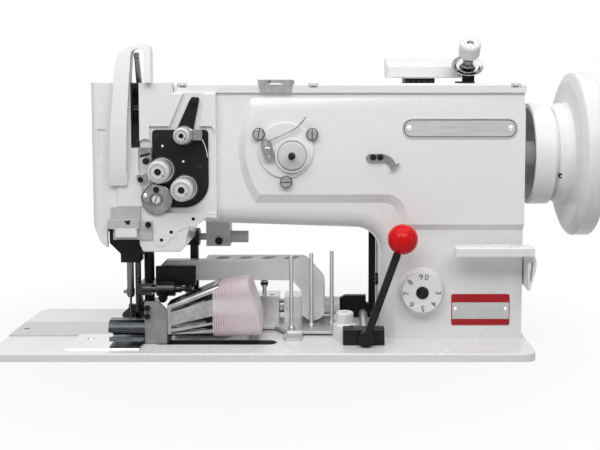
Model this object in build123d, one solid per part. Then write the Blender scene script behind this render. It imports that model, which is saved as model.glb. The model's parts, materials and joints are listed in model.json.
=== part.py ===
from build123d import *
import os
from math import atan2, cos, degrees, pi, radians, sin

# Leather sewing machine head with a walking foot and a tape binder.
# All sizes are millimetres. The pieces are drawn in the maker's datum: X runs along the bed from its
# middle towards the handwheel, Y runs from the bed's front edge to the rear, Z is 0 on the bed's top face.
# write_parts() then moves every piece so that the machine stands on its skirt rim at the origin.

# Bed
bed_length = 517.0
bed_depth = 178.0
flange = 8.0
bed_corner = 12.0
skirt_depth = 70.0            # from the bed's top face down to the rim it stands on
skirt_inset = 14.0
skirt_wall = 6.0
plate_thick = 3.0             # needle plate strip
strip_front = 65.6
strip_back = 120.0
strip_right = -100.0
hinge_bore_r = 6.3
hinge_bore_depth = 25.0
hinge_spacing = 340.0
hinge_z = -22.0

# Needle line and shafts
needle_x = -141.0
needle_y = 92.0
upper_z = 181.0
shaft_r = 7.0
lower_shaft_r = 7.0
running = 0.05                # radial clearance of every turning or sliding fit
apart = 0.4                   # least gap between pieces that move past each other

# Arm, column and head
arm_front = 52.0
arm_back = 140.0
arm_top = 243.0
arm_under_left = 114.0
arm_under_right = 108.0
column_left = 113.0
column_right = 253.0
column_back = 165.0
throat_r = 24.0
front_round = 20.0
panel_front = 46.0
panel_low = 144.5             # lower edge of the raised panel's face
panel_bevel = 9.0             # width of the slant round the raised panel
wall = 8.0
head_front = 42.0
head_back = 125.0
head_left = -152.3
head_right = -46.0
head_top = arm_top + 9.5
head_under = 88.6
seat_front = 45.0             # floor of the pocket that holds the tension plate
pad_holes = ((-99.6, 100.4), (-90.0, 108.2), (-68.4, 121.0))
cavity_front = 62.0
cavity_back = 130.0
head_cavity_right = -98.0
belt_x = 215.0
belt_width = 14.0
pulley_r = 16.0
belt_thick = 2.5
bush_r = 10.0
boss_r = 12.7                 # bearing boss that reaches into the handwheel's drum
boss_length = 17.0
cover_thick = 9.2
cover_left = -87.0
cover_front = 49.0
cover_screw_x = (-79.0, 48.0, 244.0)

# Hook and feed
hook_x = -153.0
hook_r = 25.5
hook_gap = 3.3                # between the hook's rim and the needle line
hook_y = needle_y - hook_r - hook_gap
hook_top = -9.5
hook_bottom = -27.0
gear_ratio = 2                # turns of the hook for one of the lower shaft
gear_teeth = 12               # teeth of the hook's gear
tooth_depth = 1.6
tooth_slant = 20.0            # degrees
gear_gap = 0.4                # between the tips of the two gears
bobbin_r = 13.0
bobbin_bore = 2.5
dog_half = 5.7
dog_length = 24.0
slot_half = 6.5
feed_rock_y = 138.0
feed_rock_z = -40.0
driven_r = (needle_y - hook_y - gear_gap) / (1 + gear_ratio)
driver_r = driven_r * gear_ratio
hook_clear = 0.36             # between the shaft's gear and the hook's cup above it
lower_z = round(hook_bottom - (driver_r ** 2 - hook_gap ** 2) ** 0.5 - hook_clear, 1)

# Needle bar, feet and take-up
needle_bar_r = 3.6
inner_bar_x = -133.0
inner_bar_r = 3.0
presser_r = 5.2
presser_x = inner_bar_x + inner_bar_r + 1.8 + presser_r
presser_y = 100.0
frame_right = presser_x - presser_r - 0.8    # right side of the rocking frame, beside the presser bar
rock_pivot_z = arm_top - 15
stud_z = 143.0                # stud of the needle bar, above the inner bar at the highest step
needle_clamp_r = 4.2
foot_shank = (97.0, 101.4)    # Y of the walking foot's shank, behind the needle
foot_bend = (17.5, 24.0)      # Z of its bend, above the outer toes at full lift
yoke = (106.8, 111.0)         # Y of the outer foot's yoke, behind the swinging shank
take_up_x = -123.5
take_up_thick = 4.4
take_up_pivot = (98.0, 200.0)
take_up_tip = (51.0, head_top + 28.5)

# Thread tension
tension_left = (-98.0, 168.7)
tension_right = (-76.0, 151.5)
tension_small = (-76.3, 202.5)
knob_r = 11.0
small_knob_r = 8.1
post_r = 2.6
controller = (-102.8, 140.5)
controller_r = 14.9

# Bobbin winder on the arm
winder = (21.2, 187.6)
winder_r = 27.3
winder_wheel_at = (27.5, 182.6)
winder_wheel_r = 14.0
spindle_r = 3.0
latch_at = (4.0, 188.0)
winder_screws = ((-4.6, 203.3), (46.9, 203.1), (21.6, 156.9))

# Handwheel
wheel_start = 263.0
drum_r = 51.0
drum_wall = 5.0
drum_depth = 17.0             # of the hollow that the bearing boss reaches into
drum_width = 20.0
groove_width = 4.0
groove_depth = 7.0
collar_end = 301.0            # of the stepped collar between groove and wheel
dish_r = 72.5
wheel_r = 82.5
wheel_end = 323.0

# Stitch dial and reverse lever
dial_at = (153.7, 49.3)
dial_r = 22.7
dial_front = 38.0
reverse_pivot = (85.0, 62.0)

# Presser lift lever
lift_pivot = (column_left - 14.5, 8.0)
lift_ball = (column_left + 20, 104.5)
ball_r = 14.5
lift_shaft_r = 4.0
crank_reach = 12.0
lift_bar_x = (column_left - 7.5, column_left)
lift_bar_y = (146.0, 151.0)
lift_bar_top = 150.0

# Binder
binder_shaft_y = 128.0
binder_shaft_z = 15.5
binder_shaft_r = 9.5
binder_plate_top = 5.0
arm_bar_front = 98.0
arm_bar_back = 132.0
arm_bar_top = 69.5
arm_bar_under = 49.0
hanger_pivot = (118.0, 91.5)
rod_r = 2.0
rod_top = 80.0
rod_places = ((24.9, 73.0), (44.9, 84.0), (65.6, 95.5))
horn_wall = 1.2


def span(x0, x1, y0, y1, z0, z1):
    """Rectangular block between two corners."""
    block = Box(x1 - x0, y1 - y0, z1 - z0)
    return Pos((x0 + x1) / 2, (y0 + y1) / 2, (z0 + z1) / 2) * block


def front_slab(sketch, y_front, y_back):
    """Outline drawn in X and Z, given the depth between two Y values."""
    return extrude(Plane.XZ.offset(-y_back) * sketch, y_back - y_front, dir=(0, -1, 0))


def side_slab(sketch, x_left, x_right):
    """Outline drawn in Y and Z, given the width between two X values."""
    return extrude(Plane.YZ.offset(x_left) * sketch, x_right - x_left, dir=(1, 0, 0))


def flat_slab(sketch, z_low, z_high):
    """Outline drawn in X and Y, given the height between two Z values."""
    return extrude(Plane.XY.offset(z_low) * sketch, z_high - z_low, dir=(0, 0, 1))


def outline(*points):
    """Closed polygon through the points."""
    return Polygon(*points, align=None)


def pin(origin, direction, length, radius):
    """Cylinder that starts at origin and runs along direction."""
    seat = Plane(origin=origin, z_dir=direction).location
    return seat * Cylinder(radius, length, align=(Align.CENTER, Align.CENTER, Align.MIN))


def turned(profile, origin, direction):
    """Solid of revolution from (distance along the axis, radius) points."""
    shape = revolve(outline(*profile), Axis.X)
    seat = Plane(origin=origin, z_dir=direction).location
    return seat * Rotation(0, -90, 0) * shape


def rounded_box(x0, x1, y0, y1, z0, z1, radius):
    """Block with its four upright edges rounded."""
    return fillet(span(x0, x1, y0, y1, z0, z1).edges().filter_by(Axis.Z), radius)


def slotted_screw(origin, direction, radius, height):
    """Cheese-head screw, head only, with its slot."""
    head = pin(origin, direction, height, radius)
    slot = Box(radius * 2.2, radius * 0.3, height)
    seat = Plane(origin=origin, z_dir=direction).location
    return head - seat * Pos(0, 0, height) * slot


# ---- Castings and covers ------------------------------------------------------------------

def bed_rectangle(inset, radius):
    """Rounded outline of the bed, drawn in by inset."""
    shape = RectangleRounded(bed_length - 2 * inset, bed_depth - 2 * inset, radius)
    return Pos(0, bed_depth / 2) * shape


def bed_casting():
    """Top plate with its flange, standing on a skirt that holds the lower bearings."""
    bed = flat_slab(bed_rectangle(0, bed_corner), -flange, 0)
    bed = fillet(bed.faces().sort_by(Axis.Z)[-1].edges(), 1.5)
    skirt = bed_rectangle(skirt_inset, bed_corner)
    skirt -= bed_rectangle(skirt_inset + skirt_wall, bed_corner - skirt_wall)
    bed += flat_slab(skirt, -skirt_depth, -flange)
    inner_back = bed_depth - skirt_inset - skirt_wall
    bed += span(-5, 5, skirt_inset + 3, bed_depth - skirt_inset - 3, -skirt_depth, -flange)
    for y in (46, 138):
        bed -= pin((-6, y, lower_z + 6), (1, 0, 0), 12, 16)
    for x in (-110.0, 0, 194.0):
        bed += span(x - 6, x + 6, needle_y - 20, needle_y + 20, lower_z - 15, -flange)
        bed -= pin((x - 7, needle_y, lower_z), (1, 0, 0), 14, lower_shaft_r + running)
    for x in (-165.0, -66.0):
        bed += span(x - 5, x + 5, feed_rock_y - 9, inner_back, feed_rock_z - 10, feed_rock_z + 10)
        bed -= pin((x - 6, feed_rock_y, feed_rock_z), (1, 0, 0), 12, 5 + running)
    for side in (-1, 1):
        x = side * hinge_spacing / 2
        boss_front = bed_depth - skirt_inset - hinge_bore_depth - 5
        bed += span(x - 12, x + 12, boss_front, inner_back, hinge_z - 12, -flange)
        bed -= pin((x, bed_depth - skirt_inset + 1, hinge_z), (0, -1, 0), hinge_bore_depth + 1, hinge_bore_r)
    half = hook_r + 4.5
    bed -= rounded_box(hook_x - half, hook_x + half, hook_y - hook_r - 1.7, strip_back - 8, -flange - 1, 1, 4)
    bed -= span(-bed_length / 2 - 1, strip_right, strip_front, strip_back, -plate_thick, 1)
    bed -= span(-bed_length / 2 - 1, -116.5, 12.2, strip_front, -1.2, 1)
    bed -= flat_slab(Pos(-48, 39) * SlotOverall(120, 16), -flange - 1, 1)
    bed -= rounded_box(belt_x - 14, belt_x + 14, needle_y - 26, needle_y + 26, -flange - 1, 1, 4)
    return bed


def panel_outline(left, bulge, top, low, step, corner_r, ledge):
    """Edge of the raised panel: bowed at the left, rounded where it turns down the column."""
    centre = (step - corner_r, low - corner_r)
    turn = corner_r * cos(radians(45))
    edges = [
        ThreePointArc((left[0], top), (bulge, (top + low) / 2), (left[1], low)),
        Line((left[1], low), (centre[0], low)),
        ThreePointArc((centre[0], low), (centre[0] + turn, centre[1] + turn), (step, centre[1])),
        Line((step, centre[1]), (step, ledge)),
        Line((step, ledge), (column_right, ledge)),
        Line((column_right, ledge), (column_right, top)),
        Line((column_right, top), (left[0], top)),
    ]
    return make_face(edges)


def raised_panel():
    """Raised front panel of the arm, slanting down to the arm's face on all sides but the right."""
    low = panel_low - panel_bevel
    foot = panel_outline((-12, -9), -25, arm_top - 5, low, column_left + 17, 13, 109)
    face = panel_outline((-9.3, -4.1), -17.7, arm_top - 20.2, panel_low, column_left + 25, 19, 115)
    foot = Plane.XZ.offset(-arm_front) * foot
    face = Plane.XZ.offset(-panel_front) * face
    return loft([foot, face], ruled=True)


def under_arm(x):
    """Height of the arm's sloping underside at x."""
    run = (x - head_right + 14) / (column_left - head_right + 14)
    return arm_under_left + run * (arm_under_right - arm_under_left)


def arm_body():
    """Arm and column as one bent box, rounded where the front turns under the arm."""
    bend = outline(
        (head_right - 14, arm_top),
        (column_right, arm_top),
        (column_right, 0),
        (column_left, 0),
        (column_left, arm_under_right),
        (head_right - 14, arm_under_left),
    )
    corner = bend.vertices().sort_by_distance((column_left, arm_under_right))[0]
    bend = fillet(corner, throat_r)
    body = front_slab(bend, arm_front, arm_back)
    front = [e for e in body.edges() if abs(e.center().Y - arm_front) < 0.01]
    throat = [e for e in front if e.center().Z < arm_top - 1 and e.center().Z > 1]
    throat = [e for e in throat if head_right - 10 < e.center().X < column_right - 1]
    body = fillet(throat, front_round)
    return body + span(column_left + 12, column_right, arm_back - 1, column_back, 0, arm_top)


def head_body():
    """Head at the needle end, cut back at its lower left where the needle bar comes out."""
    shape = outline(
        (head_left, head_top),
        (cover_left - 0.4, head_top),
        (cover_left - 0.4, arm_top),
        (head_right, arm_top),
        (head_right, 121),
        (-55, 122),
        (-62, 117),
        (-71, 117),
        (-74, 107),
        (-76, 94.5),
        (-82, head_under),
        (-117.5, head_under),
        (-121, 96),
        (-121, 113),
        (head_left, 113),
    )
    head = front_slab(shape, head_front, head_back)
    low = [e for e in head.faces().sort_by(Axis.Y)[0].edges() if e.center().Z < head_top - 1]
    head = fillet([e for e in low if e.center().X > head_left + 1 and e.center().X < head_right - 1], 1.5)
    return head - span(-122, -70, presser_y + presser_r + 2, head_back + 1, 80, 116)


def head_pads():
    """Flowing pads round the three tapped holes low on the head's face."""
    (lx, lz), (mx, mz), (rx, rz) = pad_holes
    pads = Pos(lx, lz) * Circle(6.2) + Pos(mx, mz) * Circle(5.6) + Pos(rx, rz) * Circle(7.5)
    pads += outline((lx + 2, lz - 4.5), (mx + 3, mz - 3.5), (mx - 2, mz + 5), (lx - 3, lz + 4.5))
    pads += outline((mx, mz - 2), (rx - 4, rz - 7), (rx + 4, rz + 8), (-84, 127), (mx - 4, mz + 4))
    return front_slab(pads, head_front - 0.8, head_front + 1)


def arm_casting():
    """Hollow casting of head, arm and column, open under the top cover."""
    body = arm_body() + head_body() + raised_panel() + head_pads()
    body += pin((column_right - 10, needle_y, upper_z), (1, 0, 0), 10 + boss_length, boss_r)
    body -= span(head_right - 4, 96, cavity_front, cavity_back, 128, arm_top + 1)
    body -= span(108, column_right - 10, cavity_front, cavity_back, 128, arm_top + 1)
    body -= span(150, column_right - 10, 66, column_back - wall, -1, 150)
    body -= span(head_left - 1, head_cavity_right, arm_front, head_back - wall, 100, head_top - 6)
    slot = span(-127.5, -119.5, head_front - 1, arm_front + 1, 190, head_top + 1)
    slot += span(-127.5, -119.5, head_front - 1, take_up_pivot[0] - 18, head_top - 7, head_top + 1)
    body -= slot
    side = head_right + 1
    pocket = outline((-110, 211), (head_right - 4, 211), (side, 204), (side, 127), (-110, 127))
    body -= front_slab(pocket, head_front - 1, seat_front)
    rim = head_top + 1.5
    channel = outline((-77, rim), (-56, rim), (-56, arm_top), (-62, 206), (-93, 206), (-77, arm_top))
    body -= front_slab(channel, head_front - 1, 46)
    guide_slot = Pos(-114.2, 180.5) * SlotOverall(37, 13.5, rotation=90)
    body -= front_slab(guide_slot, head_front - 1, head_front + 4)
    for x, z in pad_holes:
        body -= pin((x, head_front - 1, z), (0, 1, 0), 9, 1.8)
    left_bore, right_bore = head_right - head_cavity_right, boss_length + 12
    for x, length in ((head_cavity_right - 1, left_bore), (95, 20), (column_right - 11, right_bore)):
        body -= pin((x, needle_y, upper_z), (1, 0, 0), length, bush_r)
    body -= pin((presser_x, presser_y, 80), (0, 0, 1), 22, presser_r + running)
    body -= pin((dial_at[0], arm_front - 1, dial_at[1]), (0, 1, 0), 15, 6 + running)
    body -= pin((column_right - 11, reverse_pivot[0], reverse_pivot[1]), (1, 0, 0), 12, 5 + running)
    (left, right), (front, back) = lift_bar_x, lift_bar_y
    guide = span(left - 3, right + 3, arm_back - 1, back + 3, 120, 130)
    guide -= span(left - 0.1, right + 0.1, front - 0.1, back + 0.1, 119, 131)
    return body + guide


def top_cover():
    """Flat lid over the arm, with a rounded rim and a notch at each front screw."""
    lid = span(cover_left, column_right + 1, cover_front, arm_back, arm_top, arm_top + cover_thick)
    lid = fillet(lid.faces().sort_by(Axis.Z)[-1].edges(), 2.5)
    for x in cover_screw_x:
        lid -= pin((x, cover_front, arm_top + 5), (0, 0, 1), 6, 5)
    return lid


def face_cover():
    """Hollow end cap of the head, with a finger notch at its front corner."""
    shape = outline((-166.5, head_top), (head_left, head_top), (head_left, 93), (-158, 97), (-166.5, 116))
    cap = front_slab(shape, head_front + 1, head_back)
    side = [e for e in cap.edges().filter_by(Axis.Z) if e.center().X < -160]
    cap = fillet(side, 6)
    side, ceiling = head_left + 1, head_top - 3
    inside = outline((-163, ceiling), (side, ceiling), (side, 80), (-156, 80), (-163, 116))
    cap -= front_slab(inside, head_front + 6, head_back - 4)
    return cap - span(-160, side, head_front, head_front + 2.5, 178, 208)


def rear_cover():
    """Flat cover on the rear of the column."""
    return rounded_box(0, 84, 0, 116, 0, 2, 8).moved(Location((156, column_back + 2, 24), (90, 0, 0)))


def take_up_guard():
    """Hoop of flat bar around the take-up lever, bowed forward over the head's face."""
    z = head_top
    left = Polyline((-148, 154), (-141.5, z + 9.5))
    crown = Spline(
        (-141.5, z + 9.5), (-134, z + 31), (-122, z + 36), (-106.8, z + 28.5),
        tangents=((0.1, 1), (0, -1)),
    )
    right = Polyline((-106.8, z + 28.5), (-106.8, z), (-113.2, z), (-113.2, z + 26.5))
    hollow = Spline(
        (-113.2, z + 26.5), (-120.5, z + 32.5), (-127, z + 9.5),
        tangents=((0, 1), (-0.1, -1)),
    )
    back = Polyline((-127, z + 9.5), (-131, 154), (-148, 154))
    rest = right.edges() + hollow.edges() + back.edges()
    front_view = make_face(left.edges() + crown.edges() + rest)
    side_view = outline(
        (head_front, 150),
        (head_front, 160),
        (34.5, 175),
        (33.5, 210),
        (38, z),
        (50, z),
        (50, z + 37.5),
        (40, z + 37.5),
        (34.5, z + 3.5),
        (29.5, 212),
        (30.5, 172),
        (38, 150),
    )
    return front_slab(front_view, 20, 60) & side_slab(side_view, -160, -100)


def needle_plate():
    """Steel strip let into the bed, with the feed slot."""
    strip = span(-bed_length / 2, strip_right, strip_front, strip_back, -plate_thick, 0)
    slot = span(needle_x - slot_half, needle_x + slot_half, needle_y - 17, needle_y + 17, -4, 1)
    return strip - slot - pin((-248.5, 91, -1.6), (0, 0, 1), 3, 3.2)


def slide_plate():
    """Polished plate that slides left to open the bobbin."""
    plate = span(-187, -117, 12.6, strip_front - apart, -0.8, 1.3)
    plate = chamfer(plate.faces().sort_by(Axis.Z)[-1].edges().sort_by(Axis.Y)[0], 1.2)
    return plate - pin((-172, 47.5, 0.3), (0, 0, 1), 3, 3)


def screws():
    """All the visible screw heads of covers, plates and winder."""
    group = [slotted_screw((x, arm_front - 0.5, arm_top + 5), (0, 0, 1), 2.4, 2.2) for x in cover_screw_x]
    group += [slotted_screw((x, 46 - 2.5, z), (0, -1, 0), 5.8, 3.2) for x, z in winder_screws]
    group += [slotted_screw((-248.5, 91, -1.6), (0, 0, 1), 3.0, 1.6)]
    group += [slotted_screw((column_left, 96, 51), (-1, 0, 0), 6.3, 3)]
    for x in (163, 233):
        for z in (31, 133):
            group.append(slotted_screw((x, column_back + 2, z), (0, 1, 0), 3.5, 2))
    return group


# ---- Thread tension -----------------------------------------------------------------------

def tension_plate():
    """Black plate that carries the three tension posts."""
    shape = outline((-107.5, 207.4), (-53.5, 207.4), (-53.5, 132), (-107.5, 132))
    low_right = shape.vertices().sort_by_distance((-53.5, 132))[0]
    shape = fillet(low_right, 24)
    rest = [v for v in shape.vertices() if v.X < -100 or v.Y > 200]
    shape = fillet(rest, 3.5)
    plate = front_slab(shape, seat_front - 2, seat_front)
    return plate - pin((controller[0], seat_front - 3, controller[1]), (0, 1, 0), 4, 7 + apart)


def tension_stacks():
    """Three posts, each with its pair of polished discs and its spring sleeve."""
    group = []
    for at, disc, reach in ((tension_left, 12.2, 30), (tension_right, 12.2, 30), (tension_small, 8.6, 24)):
        foot = seat_front - 2
        group.append(turned(
            (
                (0, 0), (0, 5), (1.2, 5), (1.6, disc), (2.4, disc), (3.4, 7), (4.4, disc), (5.2, disc),
                (5.6, 6), (9.5, 6), (9.5, post_r), (reach, post_r), (reach, 0),
            ),
            (at[0], foot, at[1]), (0, -1, 0),
        ))
    return group


def tension_knob(at, radius, length, reach):
    """Domed thumb nut with a recess in its face."""
    bore = post_r + running
    profile = (
        (0, bore), (0, radius * 0.86), (2, radius), (length - 3, radius), (length - 0.8, radius * 0.88),
        (length, radius * 0.74), (length, radius * 0.4), (length - 3, radius * 0.4), (length - 3, bore),
    )
    return turned(profile, (at[0], seat_front - 2 - reach, at[1]), (0, -1, 0))


def controller_disc():
    """Steel disc of the check spring, with its stepped screw and stop."""
    x, z = controller
    profile = (
        (0, 0), (0, 7), (3.2, 7), (3.2, controller_r), (6, controller_r), (7, controller_r - 1),
        (7, 6.5), (8.5, 6.5), (8.5, 0),
    )
    disc = turned(profile, (x, seat_front, z), (0, -1, 0))
    disc -= span(x - 5, x + 5, 36, 37.5, z - 0.7, z + 0.7)
    return disc + pin((x, seat_front - 7, z + 10), (0, -1, 0), 2, 3)


def thread_guides():
    """Bent guides and their screws beside the tension plate."""
    clip = span(-119, -107.5, 38, head_front, 186.5, 190.5)
    clip += pin((-110.5, head_front, 182), (0, -1, 0), 4, 3.2)
    low = span(-122, -111.5, 38.5, head_front, 160, 164)
    low += pin((-114.5, head_front, 162), (0, -1, 0), 5, 3)
    side = span(-67, -58, 33, 36, 198, 208)
    side += pin((-60, 43, 203), (0, -1, 0), 7, 2.2)
    return [clip, low, side, thread_hook()]


def thread_arm():
    """Slanted black arm from its pivot screw down to the small tension."""
    arm = outline((-61.5, 240), (-71, 236), (-83.6, 207.8), (-67.8, 207.8), (-62, 236))
    arm = fillet([v for v in arm.vertices() if v.Y > 230], 2)
    bar = front_slab(arm, 43, 46)
    return bar + pin((-66.3, 43, 235), (0, -1, 0), 2.5, 3.4)


# ---- Bobbin winder and small fittings of the arm -------------------------------------------

def winder_base():
    """Round winder plate on the raised panel, notched for its screws, with a round boss."""
    (x, z), (wx, wz) = winder, winder_wheel_at
    disc = pin((x, panel_front, z), (0, -1, 0), 2.5, winder_r)
    disc = chamfer(disc.faces().sort_by(Axis.Y)[0].edges(), 0.8)
    rim = winder_wheel_r + 0.6
    boss = ((0, 0), (0, rim + 1.8), (4, rim + 1.8), (4, rim), (2.4, rim), (2.4, 0))
    boss = turned(boss, (wx, panel_front - 2.5, wz), (0, -1, 0))
    bore = pin((wx, panel_front + 5, wz), (0, -1, 0), 20, spindle_r + running)
    pivot = pin((latch_at[0], panel_front + 1, latch_at[1]), (0, -1, 0), 6, 2 + running)
    return disc + boss - bore - pivot


def winder_wheel():
    """Shallow conical wheel on the winder spindle, with its tyre behind it."""
    x, z = winder_wheel_at
    profile = (
        (-2.2, 0), (-2.2, spindle_r), (2.8, spindle_r), (2.8, winder_wheel_r), (5.5, winder_wheel_r),
        (6.5, winder_wheel_r - 1), (8, spindle_r + 1), (8, spindle_r), (20, spindle_r),
        (21, spindle_r - 0.6), (21, 0),
    )
    return turned(profile, (x, panel_front - 2.5, z), (0, -1, 0))


def winder_latch():
    """Rounded latch bar that holds the winder against its belt."""
    x, z = latch_at
    bar = Pos(x, z) * SlotOverall(22, 10, rotation=105)
    plate = front_slab(bar, panel_front - 7.5, panel_front - 2.5 - apart)
    wire_y = panel_front - 7.6
    points = ((x - 2.6, z + 8.4), (x + 16, z + 15.5), (x + 26, z + 20.5), (x + 37, z + 32))
    points = [(px, wire_y, pz) for px, pz in points]
    path = Spline(*points, tangents=((1, 0, 0.2), (0.6, 0, 0.8)))
    wire = sweep(Plane(origin=path @ 0, z_dir=path % 0) * Circle(0.7), path)
    pivot = pin((x, panel_front - 0.2, z), (0, -1, 0), 5, 2)
    pivot += pin((x, panel_front - 7.5, z), (0, -1, 0), 2.5, 2.6)
    return plate + pivot + wire


def thread_hook():
    """Small plate with a hooked finger, screwed to the column."""
    plate = Pos(108.5, 180) * SlotOverall(19, 8)
    upper = Spline((112, 183.9), (121, 181.8), (127.5, 174), tangents=((1, 0.1), (0.3, -1)))
    lower = Spline((122.5, 170), (118.5, 175.5), (112, 177), tangents=((-0.5, 1), (-1, 0)))
    ends = Line((127.5, 174), (122.5, 170)), Line((112, 177), (112, 183.9))
    finger = make_face(upper.edges() + lower.edges() + list(ends))
    lip = outline((122.5, 170), (127.5, 174), (131, 175.6), (124.6, 167.6))
    body = front_slab(plate, panel_front - 2, panel_front)
    body += front_slab(finger, panel_front - 2, panel_front)
    body += front_slab(lip, panel_front - 5, panel_front)
    for x in (105.7, 112.5):
        body += pin((x, panel_front - 2, 180.9), (0, -1, 0), 2.2, 2.6)
    return body


def top_bracket():
    """Folded steel bracket that hugs the front of the top cover."""
    z = arm_top + cover_thick
    shape = outline((-3.5, arm_top), (26.5, arm_top), (29, z + 3.5), (-6, z + 3.5))
    sheet = front_slab(shape, cover_front - 1.5, cover_front)
    sheet += span(-6, 29, cover_front - 1.5, cover_front + 11, z + 2.1, z + 3.5)
    sheet -= span(5, 18, cover_front - 2, cover_front + 6, z - 1, z + 4)
    return sheet + span(-6, 29, cover_front + 9.5, cover_front + 11, z, z + 2.1)


def top_unit():
    """Wedge-topped box on its serrated clamp foot."""
    low = arm_top + cover_thick
    shape = outline((78, low + 5.6), (130, low + 5.6), (130, low + 25), (112, low + 25), (78, low + 16.8))
    box = side_slab(shape, 120.5, 195.5)
    box = fillet(box.edges().filter_by(Axis.Z), 4)
    foot = span(139, 169, 84, 124, low, low + 5.6)
    for x in (139, 145, 151, 157, 163):
        foot += span(x, x + 4, 81.5, 84.5, low, low + 3)
    return box + foot


def pretension_frame():
    """Plane of the pretension: its origin on the bracket, its Z along the tilted post."""
    tilt = radians(40)
    return Plane(origin=(198.5, 66, arm_top + 22), z_dir=(0, -sin(tilt), cos(tilt)))


def pretension_bracket():
    """Black upright bracket, its tilted post and the polished dish with two discs."""
    low = arm_top + cover_thick
    stand = span(194.5, 205, 62, 71, low, arm_top + 23) + span(188, 205, 58, 74, low, low + 1.6)
    dish = (
        (0, 0), (0, 5), (2, 11), (5.5, 15.6), (6.4, 15.2), (3.4, 10.5), (3.4, 5), (4.2, 5),
        (4.8, 11), (5.6, 11), (6.6, 5), (8.4, 5), (9.2, 9), (10, 9), (10.8, 5), (14, 5),
        (14, post_r), (32, post_r), (32, 0),
    )
    frame = pretension_frame()
    dish = turned(dish, frame.origin, frame.z_dir)
    return [stand - dish, dish]


def pretension_knob():
    """Graduated thumb nut at the top of the tilted post."""
    frame = pretension_frame()
    bore = post_r + running
    profile = (
        (0, bore), (0, 8.8), (2, 10.3), (14, 10.3), (15.5, 9), (15.5, 4.2), (12.5, 4.2), (12.5, bore),
    )
    return turned(profile, frame.origin + frame.z_dir * 18.5, frame.z_dir)


# ---- Shafts, handwheel and belt -------------------------------------------------------------

def handwheel():
    """Dished handwheel in one piece with its grooved collar and open drum."""
    start, inner = wheel_start, shaft_r
    groove = start + drum_width
    collar = groove + groove_width
    profile = (
        (start + drum_depth, inner), (start + drum_depth, drum_r - drum_wall),
        (start, drum_r - drum_wall), (start, drum_r - 0.8), (start + 0.8, drum_r),
        (groove - 0.8, drum_r), (groove, drum_r - 0.8), (groove, drum_r - groove_depth),
        (collar, drum_r - groove_depth), (collar, drum_r - 4), (collar + 6, drum_r),
        (collar_end, drum_r + 0.6), (collar_end + 1, dish_r), (collar_end + 4.3, wheel_r - 1.8),
        (collar_end + 6, wheel_r), (wheel_end - 2, wheel_r), (wheel_end, wheel_r - 2),
        (wheel_end, wheel_r - 9), (wheel_end - 2, wheel_r - 11), (wheel_end - 13, wheel_r - 15),
        (wheel_end - 15, 34), (wheel_end - 12, 27), (wheel_end + 3, 22), (wheel_end + 3, inner),
    )
    wheel = turned(profile, (0, needle_y, upper_z), (1, 0, 0))
    return wheel - pin((collar, needle_y, upper_z), (0, -0.92, -0.39), drum_r, 2.6)


def upper_shaft():
    """Main shaft with its needle-bar crank at the left and the timing pulley in the column."""
    shaft = pin((-118, needle_y, upper_z), (1, 0, 0), wheel_end + 3 + 118, shaft_r)
    crank = pin((-118, needle_y, upper_z), (1, 0, 0), 10, 14)
    crank += pin((-120, needle_y, upper_z - 9), (1, 0, 0), 4, 3)
    pulley = timing_pulley(upper_z)
    return shaft + crank + pulley


def timing_pulley(z):
    """Flanged timing pulley of the belt in the column."""
    half = belt_width / 2 + apart
    profile = (
        (-half - 1.5, 0), (-half - 1.5, pulley_r + 2), (-half, pulley_r + 2), (-half, pulley_r),
        (half, pulley_r), (half, pulley_r + 2), (half + 1.5, pulley_r + 2), (half + 1.5, 0),
    )
    return turned(profile, (belt_x, needle_y, z), (1, 0, 0))


def timing_belt():
    """Toothed belt between the two shafts, its toothing kept smooth."""
    inner = pulley_r + 0.3
    mid = (upper_z + lower_z) / 2
    length = upper_z - lower_z
    ring = SlotCenterToCenter(length, 2 * (inner + belt_thick), rotation=90)
    ring -= SlotCenterToCenter(length, 2 * inner, rotation=90)
    return side_slab(Pos(needle_y, mid) * ring, belt_x - belt_width / 2, belt_x + belt_width / 2)


def shaft_bushings():
    """Three bushes of the upper shaft and the two pivot pins in the head."""
    group = []
    seats = (
        (head_cavity_right, head_right - 4),
        (96, 108),
        (column_right - 10, column_right + boss_length),
    )
    for x0, x1 in seats:
        ring = pin((x0, needle_y, upper_z), (1, 0, 0), x1 - x0, bush_r)
        group.append(ring - pin((x0 - 1, needle_y, upper_z), (1, 0, 0), x1 - x0 + 2, shaft_r + running))
    group.append(pin((-158, needle_y, rock_pivot_z), (1, 0, 0), 60, 3.5))
    group.append(pin((-126.5, take_up_pivot[0], take_up_pivot[1]), (1, 0, 0), 28.5, 4))
    return group


def toothed_wheel(radius, teeth, width):
    """Gear along Z with slanted teeth, as on crossed shafts."""
    half_tip, half_root = pi * radius / teeth * 0.62, pi * radius / teeth * 0.3
    root = radius - tooth_depth
    gap = outline((root, -half_root), (radius + 1, -half_tip), (radius + 1, half_tip), (root, half_root))
    gap = Rotation(tooth_slant, 0, 0) * extrude(gap, width, both=True)
    wheel = Cylinder(radius, width)
    return wheel - [Rotation(0, 0, 360 / teeth * n) * gap for n in range(teeth)]


def lower_shaft():
    """Hook-driving shaft under the bed, with its pulley and its gear."""
    shaft = pin((-163, needle_y, lower_z), (1, 0, 0), 163 + belt_x + 12, lower_shaft_r)
    gear = toothed_wheel(driver_r, gear_teeth * gear_ratio, 12)
    return shaft + Pos(hook_x, needle_y, lower_z) * Rotation(0, 90, 0) * gear + timing_pulley(lower_z)


# ---- Hook, bobbin and feed ------------------------------------------------------------------

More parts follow.
